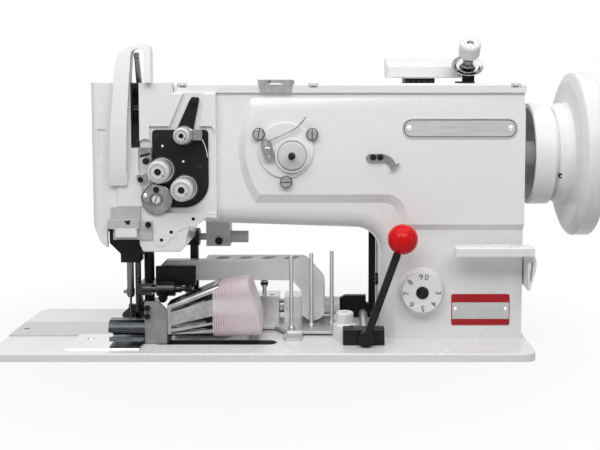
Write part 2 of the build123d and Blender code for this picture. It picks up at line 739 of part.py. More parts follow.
def rotary_hook():
    """Upright-axis rotary hook: open cup with its point, its shaft and its gear."""
    depth = hook_top - hook_bottom
    profile = (
        (-34, 0), (-34, 6), (0, 6), (0, hook_r - 4), (4, hook_r), (depth, hook_r),
        (depth, hook_r - 3.5), (3.5, hook_r - 3.5), (3.5, 0),
    )
    hook = turned(profile, (hook_x, hook_y, hook_bottom), (0, 0, 1))
    gear = Pos(hook_x, hook_y, lower_z) * toothed_wheel(driven_r, gear_teeth, 12)
    rim = hook_y - hook_r
    notch = span(hook_x - 4, hook_x + 10, rim - 1, rim + 8, hook_top - 7, hook_top + 1)
    return hook + gear - notch


def bobbin_case():
    """Round case that sits still inside the hook and holds the bobbin."""
    outer = hook_r - 3.5 - apart
    profile = (
        (4.2, 0), (4.2, outer), (15, outer), (15, outer - 6), (16.2, outer - 6),
        (16.2, bobbin_r + 1), (5.7, bobbin_r + 1), (5.7, bobbin_bore - running),
        (14, bobbin_bore - running), (14, 0),
    )
    return turned(profile, (hook_x, hook_y, hook_bottom), (0, 0, 1))


def bobbin():
    """Spool for the lower thread."""
    profile = (
        (6.1, bobbin_bore), (6.1, bobbin_r), (7.1, bobbin_r), (7.1, bobbin_bore + 2),
        (13, bobbin_bore + 2), (13, bobbin_r), (14, bobbin_r), (14, bobbin_bore),
    )
    spool = turned(profile, (hook_x, hook_y, hook_bottom), (0, 0, 1))
    hole_at = (bobbin_r + bobbin_bore + 2) / 2
    for turn in range(4):
        hole = Rotation(0, 0, 90 * turn) * Pos(hole_at, 0, 10) * Cylinder(1.6, 12)
        spool -= Pos(hook_x, hook_y, hook_bottom) * hole
    return spool


def hook_saddle():
    """Bearing bracket of the hook shaft, hung under the bed's front."""
    front, leg = skirt_inset + skirt_wall + 2, hook_y - hook_r - 3.7
    block = span(hook_x - 18, hook_x + 18, front, hook_y + 9, -38, -29)
    block += span(hook_x - 18, hook_x + 18, front, leg, -38, -flange)
    return block - pin((hook_x, hook_y, -40), (0, 0, 1), 12, 6 + running)


def feed_bar():
    """Bar under the needle plate, forked round the needle, with the toothed feed dog on its end."""
    left, right = needle_x - 7, needle_x + 7
    grip, end = 5.6, 10.0
    bar = span(left, right, needle_y - 14, needle_y + 14, hook_top + 0.9, -4)
    bar += span(left, right, needle_y + 7, feed_rock_y + end, -12.5, -flange - 1)
    bar += span(left, right, needle_y + 7, needle_y + 14, -12.5, -4)
    bar += span(left, right, feed_rock_y - end, feed_rock_y - grip, -21, -flange - 1)
    bar += span(left, right, feed_rock_y + grip, feed_rock_y + end, -21, -flange - 1)
    bar -= span(needle_x - 3, needle_x + 3, needle_y - 15, needle_y + 4, hook_top, -4)
    dog_front, dog_back = needle_y - dog_length / 2, needle_y + dog_length / 2
    dog = span(needle_x - dog_half, needle_x + dog_half, dog_front, dog_back, -4, -0.8)
    for step in range(8):
        y = dog_front + 1.5 + 3 * step
        tooth = outline((y - 1.5, -0.8), (y + 1.5, -0.8), (y + 0.9, 0.6))
        dog += side_slab(tooth, needle_x - dog_half, needle_x + dog_half)
    return bar + dog - pin((needle_x, needle_y, -20), (0, 0, 1), 25, 2.2)


def feed_rocker():
    """Feed rock shaft with the arm that drives the feed bar."""
    shaft = pin((-172, feed_rock_y, feed_rock_z), (1, 0, 0), 113, 5)
    arm = Pos(feed_rock_y, (feed_rock_z - 18) / 2) * SlotCenterToCenter(-18 - feed_rock_z, 9, rotation=90)
    return shaft + side_slab(arm, needle_x - 5, needle_x + 5)


# ---- Needle bar, take-up and feet -------------------------------------------------------------

def rocking_frame():
    """Black frame that swings the needle bar: spine, three bearing arms, pivot eye and bolted side arm."""
    front, back = needle_y - 12, needle_y + 12
    frame = span(-159, -150.5, front, back, 92, rock_pivot_z)
    frame += pin((-159, needle_y, rock_pivot_z), (1, 0, 0), 8.5, 12)
    nose = outline((-159, 97), (-159, 91), (-148, 80), (-148, 71), (frame_right, 71), (frame_right, 97))
    frame += front_slab(nose, front, back)
    frame += span(-159, frame_right, front + 2, back - 2, 106, 114)
    frame += span(-159, needle_x + 8, front + 2, back - 2, 172, 182)
    edges = [e for e in frame.edges().filter_by(Axis.Z) if abs(e.center().X - frame_right) < 0.1]
    frame = fillet([e for e in edges if e.center().Z > 100 or e.center().Y > needle_y], 3)
    frame -= pin((-160, needle_y, rock_pivot_z), (1, 0, 0), 11, 3.5 + running)
    frame -= pin((needle_x, needle_y, 60), (0, 0, 1), 125, needle_bar_r + running)
    frame -= pin((inner_bar_x, needle_y, 60), (0, 0, 1), 70, inner_bar_r + running)
    side_arm = outline((frame_right, 79.6), (-117, 79.6), (-110.5, 87), (frame_right, 87))
    return [frame, front_slab(side_arm, front, presser_y - presser_r - 4)]


def needle_bar():
    """Needle bar with its clamp, the needle with its eye, and the stud that takes the crank's link."""
    bar = pin((needle_x, needle_y, 34), (0, 0, 1), 164, needle_bar_r)
    clamp = ((0, 0), (0, 2.6), (3, needle_clamp_r), (9, needle_clamp_r), (9, 0))
    clamp = turned(clamp, (needle_x, needle_y, 33), (0, 0, 1))
    clamp += pin((needle_x, needle_y, 38.5), (-1, 0, 0), 7, 1.8)
    needle = ((0, 0), (0, 0.1), (4, 0.8), (26, 0.8), (28, 1.2), (38, 1.2), (38, 0))
    needle = turned(needle, (needle_x, needle_y, -3.5), (0, 0, 1))
    needle -= span(needle_x - 1, needle_x + 1, needle_y - 0.25, needle_y + 0.25, 2, 4.4)
    link_x = frame_right - 2.6
    stud = pin((needle_x + 2, needle_y, stud_z), (1, 0, 0), link_x + 1 - needle_x, 2.2)
    link = side_slab(Pos(needle_y, stud_z + 13) * SlotCenterToCenter(26, 6, rotation=90), link_x, link_x + 3)
    return bar + clamp + needle + stud + link


def take_up_lever():
    """Take-up lever: eye boss, straight arm and the thread end."""
    y, z = take_up_pivot
    ty, tz = take_up_tip
    left = take_up_x - take_up_thick / 2
    arm = outline(
        (y - 7, z + 1), (ty + 8, tz - 24), (ty + 1.5, tz - 2), (ty + 4.5, tz - 1),
        (ty + 15, tz - 22), (y + 4, z + 6),
    )
    lever = side_slab(arm, left, left + take_up_thick)
    lever += pin((left, y, z), (1, 0, 0), take_up_thick, 8)
    lever += pin((left, ty + 2.6, tz - 2), (1, 0, 0), take_up_thick, 3.2)
    lever -= pin((take_up_x - 5, ty + 2.6, tz - 2), (1, 0, 0), 10, 1.3)
    return lever - pin((take_up_x - 5, y, z), (1, 0, 0), 10, 4 + running)


def walking_foot():
    """Inner foot that walks with the needle: round bar, cranked shank and the toe round the needle."""
    bar = pin((inner_bar_x, needle_y, 27), (0, 0, 1), 92, inner_bar_r)
    socket = span(inner_bar_x - 2.5, inner_bar_x + 3, needle_y - 3, foot_shank[1], foot_bend[0], 34)
    socket = fillet(socket.edges().filter_by(Axis.Z).sort_by(Axis.Y)[:2], 1.5)
    left, right = needle_x - 3.4, needle_x + 3.4
    bend = span(left, inner_bar_x + 3, *foot_shank, *foot_bend)
    toe = outline(
        (needle_y - 9, 3.2), (needle_y - 7, 1.4), (foot_shank[1], 1.4), (foot_shank[1], foot_bend[1]),
        (foot_shank[0], foot_bend[1]), (foot_shank[0], 8), (foot_shank[0] - 3, 4.4), (needle_y - 9, 4.4),
    )
    foot = bar + socket + bend + side_slab(toe, left, right)
    return foot - pin((needle_x, needle_y, 0), (0, 0, 1), 8, 1.6)


def presser_bar():
    """Outer presser bar, black, guided in the head."""
    bar = pin((presser_x, presser_y, 22), (0, 0, 1), 124, presser_r)
    return chamfer(bar.faces().sort_by(Axis.Z)[-1].edges(), 0.8)


def presser_foot():
    """Outer foot: clamp on the bar, yoke behind the needle and two long toes beside it."""
    half = presser_r + 1.2
    body = span(presser_x - half, presser_x + half + 0.2, presser_y - half - 0.1, yoke[1], 14, 28)
    body = fillet(body.edges().filter_by(Axis.Z), 1)
    body -= pin((presser_x, presser_y, 22), (0, 0, 1), 10, presser_r)
    left, right = needle_x - 12.4, presser_x + 4
    bridge = outline((left, 1), (right, 1), (right, 18), (needle_x - 6, 18), (left, 12))
    body += front_slab(bridge, *yoke)
    for side in (-1, 1):
        x = needle_x + side * 9.4
        toe = outline(
            (needle_y - 22, 6.4), (needle_y - 15, 0.7), (yoke[1], 0.7), (yoke[1], 8), (yoke[0], 8),
            (yoke[0] - 6, 4.6), (needle_y - 13, 4.4), (needle_y - 20, 8.2),
        )
        body += side_slab(toe, x - 3, x + 3)
    return body


def presser_clamp():
    """Clamp on the presser bar, and the cross rod screwed into its side, with its nut and ring screw."""
    y, z = presser_y - 19, 44
    half = presser_r + 1.2
    side = presser_x + half
    ring = span(presser_x - half, side, y - 4, presser_y + half + 0.6, z - 6, z + 6)
    ring -= pin((presser_x, presser_y, 30), (0, 0, 1), 30, presser_r)
    boss = ((0, 0), (0, 4.2), (1, 5), (half + 4, 5), (half + 4, 0))
    ring += turned(boss, (presser_x - 4, y, z), (1, 0, 0))
    rod = (
        (0, 0), (0, 4), (4.6, 4), (4.6, 6.7), (5.4, 7.5), (22.8, 7.5), (23.6, 6.7), (23.6, 4),
        (29.6, 4), (29.6, 2.6), (41.6, 2.6), (41.6, 0),
    )
    rod = turned(rod, (side, y, z), (1, 0, 0))
    nut = Plane(origin=(side + 33.6, y, z), z_dir=(1, 0, 0)) * RegularPolygon(4.4, 6)
    rod += extrude(nut, 5)
    x, low = side + 12.1, z - 7.5
    ring_screw = pin((x, y - 6, low), (0, -1, 0), 4.5, 4.6)
    ring_screw += pin((x, y, low), (0, -1, 0), 6, 3.4)
    ring_screw -= pin((x, y - 7, low), (0, -1, 0), 6, 1.8)
    return [ring, rod + ring_screw]


def finger_guard():
    """Stack of small guard plates over the needle bar's opening."""
    base = span(-146, -107.5, head_front - 2, head_front, 101, 119)
    base += span(-147, -119, head_front - 4, head_front, 118, 133)
    base += span(-150.5, -120, head_front - 6, head_front - 1, 112, 121)
    base += span(-143, -122, head_front - 8, head_front - 1, 103.5, 113)
    return base + pin((-111.3, head_front - 1, 116), (0, -1, 0), 4, 2.6)


# ---- Binder ------------------------------------------------------------------------------------

def under_arm_bracket():
    """Bracket under the arm with the short cross shaft that the hanger swings on."""
    y, z = hanger_pivot
    low = z - 8.5
    shape = outline(
        (-65, low), (-40, low), (-40, under_arm(-40)), (-60, under_arm(-60)), (-65, under_arm(-60)),
    )
    block = front_slab(shape, y - 10, y + 10)
    block += pin((-87, y, z), (1, 0, 0), 24, 3.6) + pin((-41, y, z), (1, 0, 0), 19, 6.2)
    screw = pin((-52.5, y - 10, z - 1), (0, -1, 0), 2.5, 3.6)
    return block + screw


def hanger():
    """Black clamp and hanging bar that link the cross shaft to the binder arm."""
    y, z = hanger_pivot
    clamp = pin((-86.5, y, z), (1, 0, 0), 13.5, 9) + span(-86.5, -73, y - 9, y + 3, z, z + 8)
    bar = span(-83, -75, y - 2, y + 6, 24, z)
    return clamp + bar - pin((-90, y, z), (1, 0, 0), 20, 3.6 + running)


def binder_arm():
    """Gooseneck arm: pierced channel beam that turns down to the clamp on its shaft."""
    foot_x, foot_z, foot_r = 46.3, 18.8, 12.0
    shape = outline(
        (-112, arm_bar_top - 6), (-106, arm_bar_top), (38, arm_bar_top), (foot_x + foot_r, 47),
        (foot_x + foot_r, foot_z), (foot_x - foot_r, foot_z), (foot_x - foot_r, 38), (25, arm_bar_under),
        (-112, arm_bar_under),
    )
    elbow = [
        ((38, arm_bar_top), 12),
        ((foot_x + foot_r, 47), 12),
        ((25, arm_bar_under), 5),
        ((foot_x - foot_r, 38), 7),
    ]
    for corner, radius in elbow:
        shape = fillet(shape.vertices().sort_by_distance(corner)[0], radius)
    shape += Pos(foot_x, foot_z) * Circle(foot_r)
    arm = front_slab(shape, arm_bar_front, arm_bar_back)
    rim = arm.faces().sort_by(Axis.Y)[0].edges().filter_by(lambda e: e.center().Z > arm_bar_under + 2)
    arm = chamfer(rim, 1.5)
    arm -= span(-113, -66, arm_bar_front + 13, arm_bar_back + 1, 40, 80)
    arm -= span(-62, 28, arm_bar_front + 4, arm_bar_back - 4, 40, arm_bar_top - 3)
    for x in (-57, -33, -9, 15):
        window = outline((x, 108), (x + 12, 108), (x + 17, 122), (x + 5, 122))
        arm -= flat_slab(window, arm_bar_top - 5, arm_bar_top + 1)
    arm -= pin((foot_x - 20, binder_shaft_y, binder_shaft_z), (1, 0, 0), 40, binder_shaft_r)
    arm -= span(foot_x - 20, foot_x + 20, binder_shaft_y, arm_bar_back + 1, 0, 28)
    arm += pin((foot_x, arm_bar_front, 14.5), (0, -1, 0), 1.5, 5)
    shaft = pin((-24, binder_shaft_y, binder_shaft_z), (1, 0, 0), 98, 6)
    shaft += pin((35, binder_shaft_y, binder_shaft_z), (1, 0, 0), 39, binder_shaft_r)
    return [arm, shaft]


def binder_head_block():
    """Black block screwed to the front of the arm's head."""
    left = presser_x + presser_r + 2.8
    block = span(left, -74.5, arm_bar_front - 6.5, arm_bar_front, 44.5, 64.5)
    block = chamfer(block.edges().filter_by(Axis.X).sort_by(Axis.Y)[:2], 1)
    for x in (left + 5, -79.5):
        block -= pin((x, arm_bar_front - 9, 56), (0, 1, 0), 4, 2.8)
    return block


def binder_blocks():
    """Two bearing blocks of the binder shaft, with the thumb screw and the collar between them."""
    y0, y1 = 116.5, 144.0
    top = 28.0
    bore = pin((-30, binder_shaft_y, binder_shaft_z), (1, 0, 0), 70, 6 + running)
    left = span(-22.5, 10, y0, y1, binder_plate_top, top) - bore
    for x in (-14, 2):
        left -= pin((x, y0 + 9, top - 3), (0, 0, 1), 5, 2.4)
    left += pin((-6, y0 + 9, top), (0, 0, 1), 9, 2.4) + pin((-6, y0 + 9, top + 9), (0, 0, 1), 6, 4)
    right = span(15.5, 33.5, y0, y1, binder_plate_top, top - 0.5) - bore
    right -= pin((20.5, y0 - 1, 15), (0, 1, 0), 4, 3)
    return [left, right]


def binder_plate():
    """Steel base plate of the binder, stepped at its front, with its dark clamp pad."""
    shape = outline(
        (-92, 66), (-46, 66), (-30, 82), (8, 82), (21, 63), (66, 63), (66, 150), (-40, 150),
        (-60, 120), (-92, 112),
    )
    plate = flat_slab(shape, 2, binder_plate_top)
    pad = rounded_box(18, 37, 43, 64, 0, 3.4, 5) + span(-60, 50, 90, 140, 0, 2)
    return [plate + pad] + tape_rods()


def tape_rods():
    """Three upright rods with round feet, screwed into the plate."""
    length = rod_top - binder_plate_top
    rod = (
        (0, 0), (0, 3.4), (2, 3.4), (3, rod_r), (length - 0.4, rod_r), (length, rod_r - 0.4), (length, 0),
    )
    return [turned(rod, (x, y, binder_plate_top), (0, 0, 1)) for x, y in rod_places]


def binder_holder():
    """Grey block that holds the folder: upright clamp plate on a stepped base."""
    base = span(-115.5, -94, 33, 62, 0, 23.5)
    upper = outline((-115.5, 23.5), (-115.5, 40.4), (-102.2, 40.4), (-94, 31.6), (-94, 23.5))
    body = base + front_slab(upper, 33, 41)
    for z in (36.3, 28.4):
        body += pin((-112, 33, z), (0, -1, 0), 1.6, 2.9)
    return body


def binder_jaws():
    """Curved black folding jaws: a rolled upper shell over a lower lip."""
    y, z = 41, 12.6
    upper = Pos(y, z) * (Circle(9.8) - Circle(8.5))
    upper -= Pos(y + 12, z) * Rectangle(24, 40)
    upper -= Pos(y - 6, z - 8) * Rectangle(12, 14)
    upper += Pos(y + 3, z + 9.15) * Rectangle(8, 1.3)
    shell = side_slab(upper, -150.5, -115.5)
    corner = outline((-152, z - 2), (-152, z + 2), (-148.5, z - 2))
    shell -= front_slab(corner, 20, 60)
    lip = outline((29, 3.6), (48, 3.6), (48, 5.1), (33, 5.1), (29.5, 8.2), (28.2, 7.4))
    core = Pos(y - 0.5, 11.4) * Ellipse(6.4, 3.8)
    return [shell, side_slab(lip, -149, -115.5), side_slab(core, -147, -115.5)]


def horn_section(x, y0, y1, z0, z1, shrink):
    """Rounded rectangle across the tape horn."""
    shape = RectangleRounded(y1 - y0 - 2 * shrink, z1 - z0 - 2 * shrink, 4)
    return Plane.YZ.offset(x) * Pos((y0 + y1) / 2, (z0 + z1) / 2) * shape


def tape_horn():
    """Flared sheet-metal horn that leads the tape, slotted along its front."""
    near = (-94, 35, 60, 6.5, 38)
    far = (-44, 33, 72, 9, 58)
    outer = loft([horn_section(*near, 0), horn_section(*far, 0)])
    inner = loft([
        horn_section(near[0] - 0.1, *near[1:], horn_wall),
        horn_section(far[0] + 0.1, *far[1:], horn_wall),
    ])
    horn = outer - inner
    for z_near, z_far, height in ((31, 45, 3.4), (14.5, 22, 3.4), (9.6, 15, 1.6)):
        slot = outline((-90, z_near), (-46, z_far), (-46, z_far + height + 3), (-90, z_near + height))
        horn -= front_slab(slot, 30, 40)
    return horn


def foam_sleeve():
    """Soft ruffled sleeve pushed over the flared end of the horn, rising to its open end."""
    near = Plane.YZ.offset(-50) * Pos(52, 31) * RectangleRounded(42, 50, 10)
    far = Plane.YZ.offset(-3) * Pos(52, 35) * RectangleRounded(46, 58, 12)
    body = loft([near, far])
    end_cut = outline((-20, 70), (-9, 42), (-3.4, 20), (-3.4, 0), (10, 0), (10, 70))
    hollow = loft([
        horn_section(-50.1, 32.6, 72.4, 8.4, 56.8, 0),
        horn_section(-43.6, 32.2, 73, 8, 59, 0),
    ])
    core = Pos(-24, 52, 35) * Box(40, 34, 40)
    return body - front_slab(end_cut, 20, 80) - hollow - core


# ---- Controls -------------------------------------------------------------------------------------

def stitch_dial():
    """Stitch-length dial with its stud in the column."""
    length = arm_front - apart - dial_front
    profile = (
        (-10, 0), (-10, 6), (0, 6), (0, dial_r - 0.8), (0.8, dial_r), (length - 1.5, dial_r),
        (length, dial_r - 1.5), (length, 6.2), (length - 1.5, 6.2), (length - 1.5, 5.6),
        (length + 0.5, 5.6), (length + 0.5, 0),
    )
    return turned(profile, (dial_at[0], arm_front - apart, dial_at[1]), (0, -1, 0))


def reverse_lever():
    """Reverse lever: hand bar across the column, ribbed bracket and its pivot stud."""
    y, z = reverse_pivot
    left = column_right + 1.2
    bar = span(183, 259, 21, 41, 88, 96.5)
    bar = fillet(bar.edges().filter_by(Axis.Z).sort_by(Axis.X)[:2], 4)
    bar = chamfer(bar.faces().sort_by(Axis.Z)[-1].edges(), 1.2)
    outer = Spline((259, 92), (262.4, 79), (259, 63), (257, 53.4), tangents=((0.3, -1), (-0.1, -1)))
    rest = Polyline((257, 53.4), (left, 53.4), (left, 92), (259, 92))
    web = make_face(outer.edges() + rest.edges())
    inner = Spline((left + 5, 82), (left + 5, 75), (left + 2.1, 61), tangents=((0.2, -1), (-0.6, -1)))
    back = Polyline((left + 2.1, 61), (left + 2.1, 79), (left + 5, 82))
    hole = make_face(inner.edges() + back.edges())
    bracket = front_slab(web, 30, 41) - front_slab(hole, 29, 42)
    side = outline((30, 54), (41, 54), (y, z - 9), (y, z + 9), (41, 88), (30, 88))
    cheek = side_slab(side, left, left + 2) + pin((left, y, z), (1, 0, 0), 8, 9)
    stud = pin((column_right - 9, y, z), (1, 0, 0), 12, 5)
    return bar + bracket + cheek + stud


def lift_lever():
    """Hand lever bar with its long shaft and the crank at the rear."""
    x, z = lift_pivot
    bx, bz = lift_ball
    reach = ((bx - x) ** 2 + (bz - z) ** 2) ** 0.5
    slot = SlotCenterToCenter(reach, 7)
    bar = Pos((x + bx) / 2, (z + bz) / 2) * Rotation(0, 0, degrees(atan2(bz - z, bx - x))) * slot
    lever = front_slab(bar, 19, 24) + pin((x, 19, z), (0, 1, 0), 8, 7.5)
    lever -= Pos(bx, 21, bz) * Sphere(ball_r)
    shaft = pin((x, 18, z), (0, 1, 0), 139, lift_shaft_r)
    crank = Pos(x + crank_reach / 2, z) * SlotCenterToCenter(crank_reach, 10)
    return lever + shaft + front_slab(crank, 152 - 6, 157)


def lever_ball():
    """Red ball on the end of the hand lever."""
    bx, bz = lift_ball
    return Pos(bx, 21, bz) * Sphere(ball_r)


def lever_block():
    """Black bearing block of the hand lever on the bed, and the bracket that holds its shaft's rear end."""
    x, z = lift_pivot
    front = rounded_box(x - 22, x + 18.2, 28, 44.5, 0, 15, 2)
    rear = outline(
        (x + 9.6, 0), (x - 22.5, 0), (x - 25.1, 14), (x - 27.2, 19.4), (x - 18.5, 24),
        (x + 4, 24), (x + 4, 16), (x + 9.6, 10),
    )
    rear = front_slab(rear, binder_shaft_y + binder_shaft_r + apart, lift_bar_y[0] - 1)
    bore = pin((x, 20, z), (0, 1, 0), 130, lift_shaft_r + running)
    front -= bore
    for dx, y in ((-15.5, 33), (-8.5, 39.5), (5.5, 39.5), (12.5, 33)):
        front -= pin((x + dx, y, 13.6), (0, 0, 1), 3, 2.6)
    return [front, rear - bore]


def lift_bar():
    """Black bar behind the arm that carries the lift up to the presser."""
    bar = span(lift_bar_x[0], lift_bar_x[1], lift_bar_y[0], lift_bar_y[1], 13.4, lift_bar_top)
    return chamfer(bar.faces().sort_by(Axis.Z)[-1].edges(), 1)


def bed_post():
    """White stepped post on the bed."""
    profile = ((0, 0), (0, 11.8), (14, 11.8), (15.5, 8.8), (25, 8.8), (26, 7.8), (26, 0))
    return turned(profile, (lift_pivot[0] - 20, 57, 0), (0, 0, 1))


parts = {
    "bed_casting": bed_casting,
    "arm_casting": arm_casting,
    "top_cover": top_cover,
    "face_cover": face_cover,
    "rear_cover": rear_cover,
    "take_up_guard": take_up_guard,
    "needle_plate": needle_plate,
    "slide_plate": slide_plate,
    "screws": screws,
    "tension_plate": tension_plate,
    "tension_stacks": tension_stacks,
    "tension_knob_left": lambda: tension_knob(tension_left, knob_r, 16, 10),
    "tension_knob_right": lambda: tension_knob(tension_right, knob_r, 16, 10),
    "tension_knob_small": lambda: tension_knob(tension_small, small_knob_r, 11, 10),
    "controller_disc": controller_disc,
    "thread_guides": thread_guides,
    "thread_arm": thread_arm,
    "winder_base": winder_base,
    "winder_wheel": winder_wheel,
    "winder_latch": winder_latch,
    "top_bracket": top_bracket,
    "top_unit": top_unit,
    "pretension_bracket": pretension_bracket,
    "pretension_knob": pretension_knob,
    "handwheel": handwheel,
    "upper_shaft": upper_shaft,
    "timing_belt": timing_belt,
    "shaft_bushings": shaft_bushings,
    "lower_shaft": lower_shaft,
    "rotary_hook": rotary_hook,
    "bobbin_case": bobbin_case,
    "bobbin": bobbin,
    "hook_saddle": hook_saddle,
    "feed_bar": feed_bar,
    "feed_rocker": feed_rocker,
    "rocking_frame": rocking_frame,
    "needle_bar": needle_bar,
    "take_up_lever": take_up_lever,
    "walking_foot": walking_foot,
    "presser_bar": presser_bar,
    "presser_foot": presser_foot,
    "presser_clamp": presser_clamp,
    "finger_guard": finger_guard,
    "under_arm_bracket": under_arm_bracket,
    "hanger": hanger,
    "binder_arm": binder_arm,
    "binder_head_block": binder_head_block,
    "binder_blocks": binder_blocks,
    "binder_plate": binder_plate,
    "binder_holder": binder_holder,
    "binder_jaws": binder_jaws,
    "tape_horn": tape_horn,
    "foam_sleeve": foam_sleeve,
    "stitch_dial": stitch_dial,
    "reverse_lever": reverse_lever,
    "lift_lever": lift_lever,
    "lever_ball": lever_ball,
    "lever_block": lever_block,
    "lift_bar": lift_bar,
    "bed_post": bed_post,
}


def write_parts():
    """Write each piece in the part's own frame: origin under the bed's middle, on the skirt rim."""
    os.makedirs("parts", exist_ok=True)
    shift = Pos(0, -bed_depth / 2, skirt_depth)
    for name, make in parts.items():
        made = make()
        solids = made if isinstance(made, list) else [made]
        moved = [shift * solid for piece in solids for solid in piece.solids()]
        export_step(Compound(children=moved) if len(moved) > 1 else moved[0], f"parts/{name}.step")


write_parts()
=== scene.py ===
import bpy
import json
import math
from mathutils import Matrix, Vector


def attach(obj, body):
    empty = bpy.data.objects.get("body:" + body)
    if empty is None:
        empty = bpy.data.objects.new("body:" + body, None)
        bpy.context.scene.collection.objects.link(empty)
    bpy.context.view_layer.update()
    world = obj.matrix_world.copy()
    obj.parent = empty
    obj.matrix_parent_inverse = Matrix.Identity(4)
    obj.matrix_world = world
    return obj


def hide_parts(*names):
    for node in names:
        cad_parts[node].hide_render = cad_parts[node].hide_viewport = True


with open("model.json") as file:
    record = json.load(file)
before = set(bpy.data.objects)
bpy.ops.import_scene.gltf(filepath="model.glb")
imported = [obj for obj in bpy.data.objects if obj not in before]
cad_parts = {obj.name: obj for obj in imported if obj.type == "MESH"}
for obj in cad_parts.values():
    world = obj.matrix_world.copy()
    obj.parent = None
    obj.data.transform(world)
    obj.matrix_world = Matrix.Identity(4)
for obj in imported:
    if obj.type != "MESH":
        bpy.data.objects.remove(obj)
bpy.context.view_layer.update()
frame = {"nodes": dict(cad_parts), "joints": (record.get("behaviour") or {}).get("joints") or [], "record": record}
nodes = frame["nodes"]
record = frame["record"]
body_of = {node: body for body, members in record["behaviour"]["bodies"].items() for node in members}
slot_of = {part["node"]: part["material_slot"] for part in record["subparts"]}

# The machine's own datum, in millimetres: X from the bed's middle, Y from its front edge, Z from its top.
BED_DEPTH = 178.0
BED_TOP = 70.0
UP = Vector((0, 0, 1))
FORWARD = Vector((0, -1, 0))
RIGHT = Vector((1, 0, 0))


def at(x, y, z):
    """Point of the machine's datum in the frame, in metres."""
    return Vector((x / 1000, (y - BED_DEPTH / 2) / 1000, (z + BED_TOP) / 1000))


def mm(value):
    """Millimetres given in metres."""
    return value / 1000


# ---- Finishes ----

LINES_ACROSS = 1400     # brushed lines to a metre across their direction
LINES_ALONG = 25        # and along it
finishes = {}


def grey(level):
    """Neutral colour."""
    return level, level, level


def new_finish(name):
    """Node tree of a new material, its shader and the object's own coordinates."""
    finish = bpy.data.materials.new(name)
    finish.use_nodes = True
    tree = finish.node_tree
    shader = tree.nodes["Principled BSDF"]
    where = tree.nodes.new("ShaderNodeTexCoord")
    finishes[name] = finish
    return tree, shader, where.outputs["Object"]


def grain(tree, source, scale, detail=3.0, stretch=(1, 1, 1)):
    """Noise on the object's coordinates, drawn out along an axis where the finish has a direction."""
    mapping = tree.nodes.new("ShaderNodeMapping")
    mapping.inputs["Scale"].default_value = stretch
    tree.links.new(source, mapping.inputs["Vector"])
    noise = tree.nodes.new("ShaderNodeTexNoise")
    noise.inputs["Scale"].default_value = scale
    noise.inputs["Detail"].default_value = detail
    tree.links.new(mapping.outputs["Vector"], noise.inputs["Vector"])
    return noise.outputs["Fac"]


def blend_colours(tree, factor, low, high, start=0.3, end=0.7):
    """Colour that runs from low to high with the factor."""
    ramp = tree.nodes.new("ShaderNodeValToRGB")
    ramp.color_ramp.elements[0].position = start
    ramp.color_ramp.elements[1].position = end
    ramp.color_ramp.elements[0].color = (*low, 1)
    ramp.color_ramp.elements[1].color = (*high, 1)
    tree.links.new(factor, ramp.inputs["Fac"])
    return ramp.outputs["Color"]


def spread(tree, factor, low, high, start=0.25, end=0.75, kind="LINEAR"):
    """Number that runs from low to high while the factor runs from start to end."""
    ranged = tree.nodes.new("ShaderNodeMapRange")
    ranged.interpolation_type = kind
    ranged.inputs["From Min"].default_value = start
    ranged.inputs["From Max"].default_value = end
    ranged.inputs["To Min"].default_value = low
    ranged.inputs["To Max"].default_value = high
    tree.links.new(factor, ranged.inputs["Value"])
    return ranged.outputs["Result"]


def combine(tree, operation, first, second=None):
    """Result of an operation on one value, or on two."""
    step = tree.nodes.new("ShaderNodeMath")
    step.operation = operation
    tree.links.new(first, step.inputs[0])
    if second is not None:
        tree.links.new(second, step.inputs[1])
    return step.outputs["Value"]


def relief(tree, shader, height, strength, distance):
    """Fine surface relief."""
    bump = tree.nodes.new("ShaderNodeBump")
    bump.inputs["Strength"].default_value = strength
    bump.inputs["Distance"].default_value = distance
    tree.links.new(height, bump.inputs["Height"])
    tree.links.new(bump.outputs["Normal"], shader.inputs["Normal"])


def surface(name, low, high, rough, metal=0.0, coat=0.0, patch=30.0, fine=900.0, bump=0.06, shine=0.5):
    """Finish with slow colour patches, uneven gloss and fine relief."""
    tree, shader, source = new_finish(name)
    shader.inputs["Specular IOR Level"].default_value = shine
    shader.inputs["Metallic"].default_value = metal
    shader.inputs["Coat Weight"].default_value = coat
    shader.inputs["Coat Roughness"].default_value = 0.12
    patches = grain(tree, source, patch)
    tree.links.new(blend_colours(tree, patches, low, high), shader.inputs["Base Color"])
    texture = grain(tree, source, fine, 4.0)
    tree.links.new(spread(tree, texture, *rough), shader.inputs["Roughness"])
    if bump:
        relief(tree, shader, texture, bump, mm(0.2))


def brushed(name, low, high, rough, along):
    """Metal with fine lines along one axis (0, 1 or 2), light and dark from line to line."""
    stretch = [LINES_ACROSS] * 3
    stretch[along] = LINES_ALONG
    tree, shader, source = new_finish(name)
    shader.inputs["Metallic"].default_value = 1.0
    lines = grain(tree, source, 1.0, 2.0, stretch)
    patches = grain(tree, source, 60.0)
    mixed = tree.nodes.new("ShaderNodeMix")
    mixed.inputs["Factor"].default_value = 0.4
    tree.links.new(lines, mixed.inputs["A"])
    tree.links.new(patches, mixed.inputs["B"])
    tree.links.new(blend_colours(tree, mixed.outputs["Result"], low, high), shader.inputs["Base Color"])
    tree.links.new(spread(tree, lines, *rough), shader.inputs["Roughness"])
    relief(tree, shader, lines, 0.12, mm(0.1))


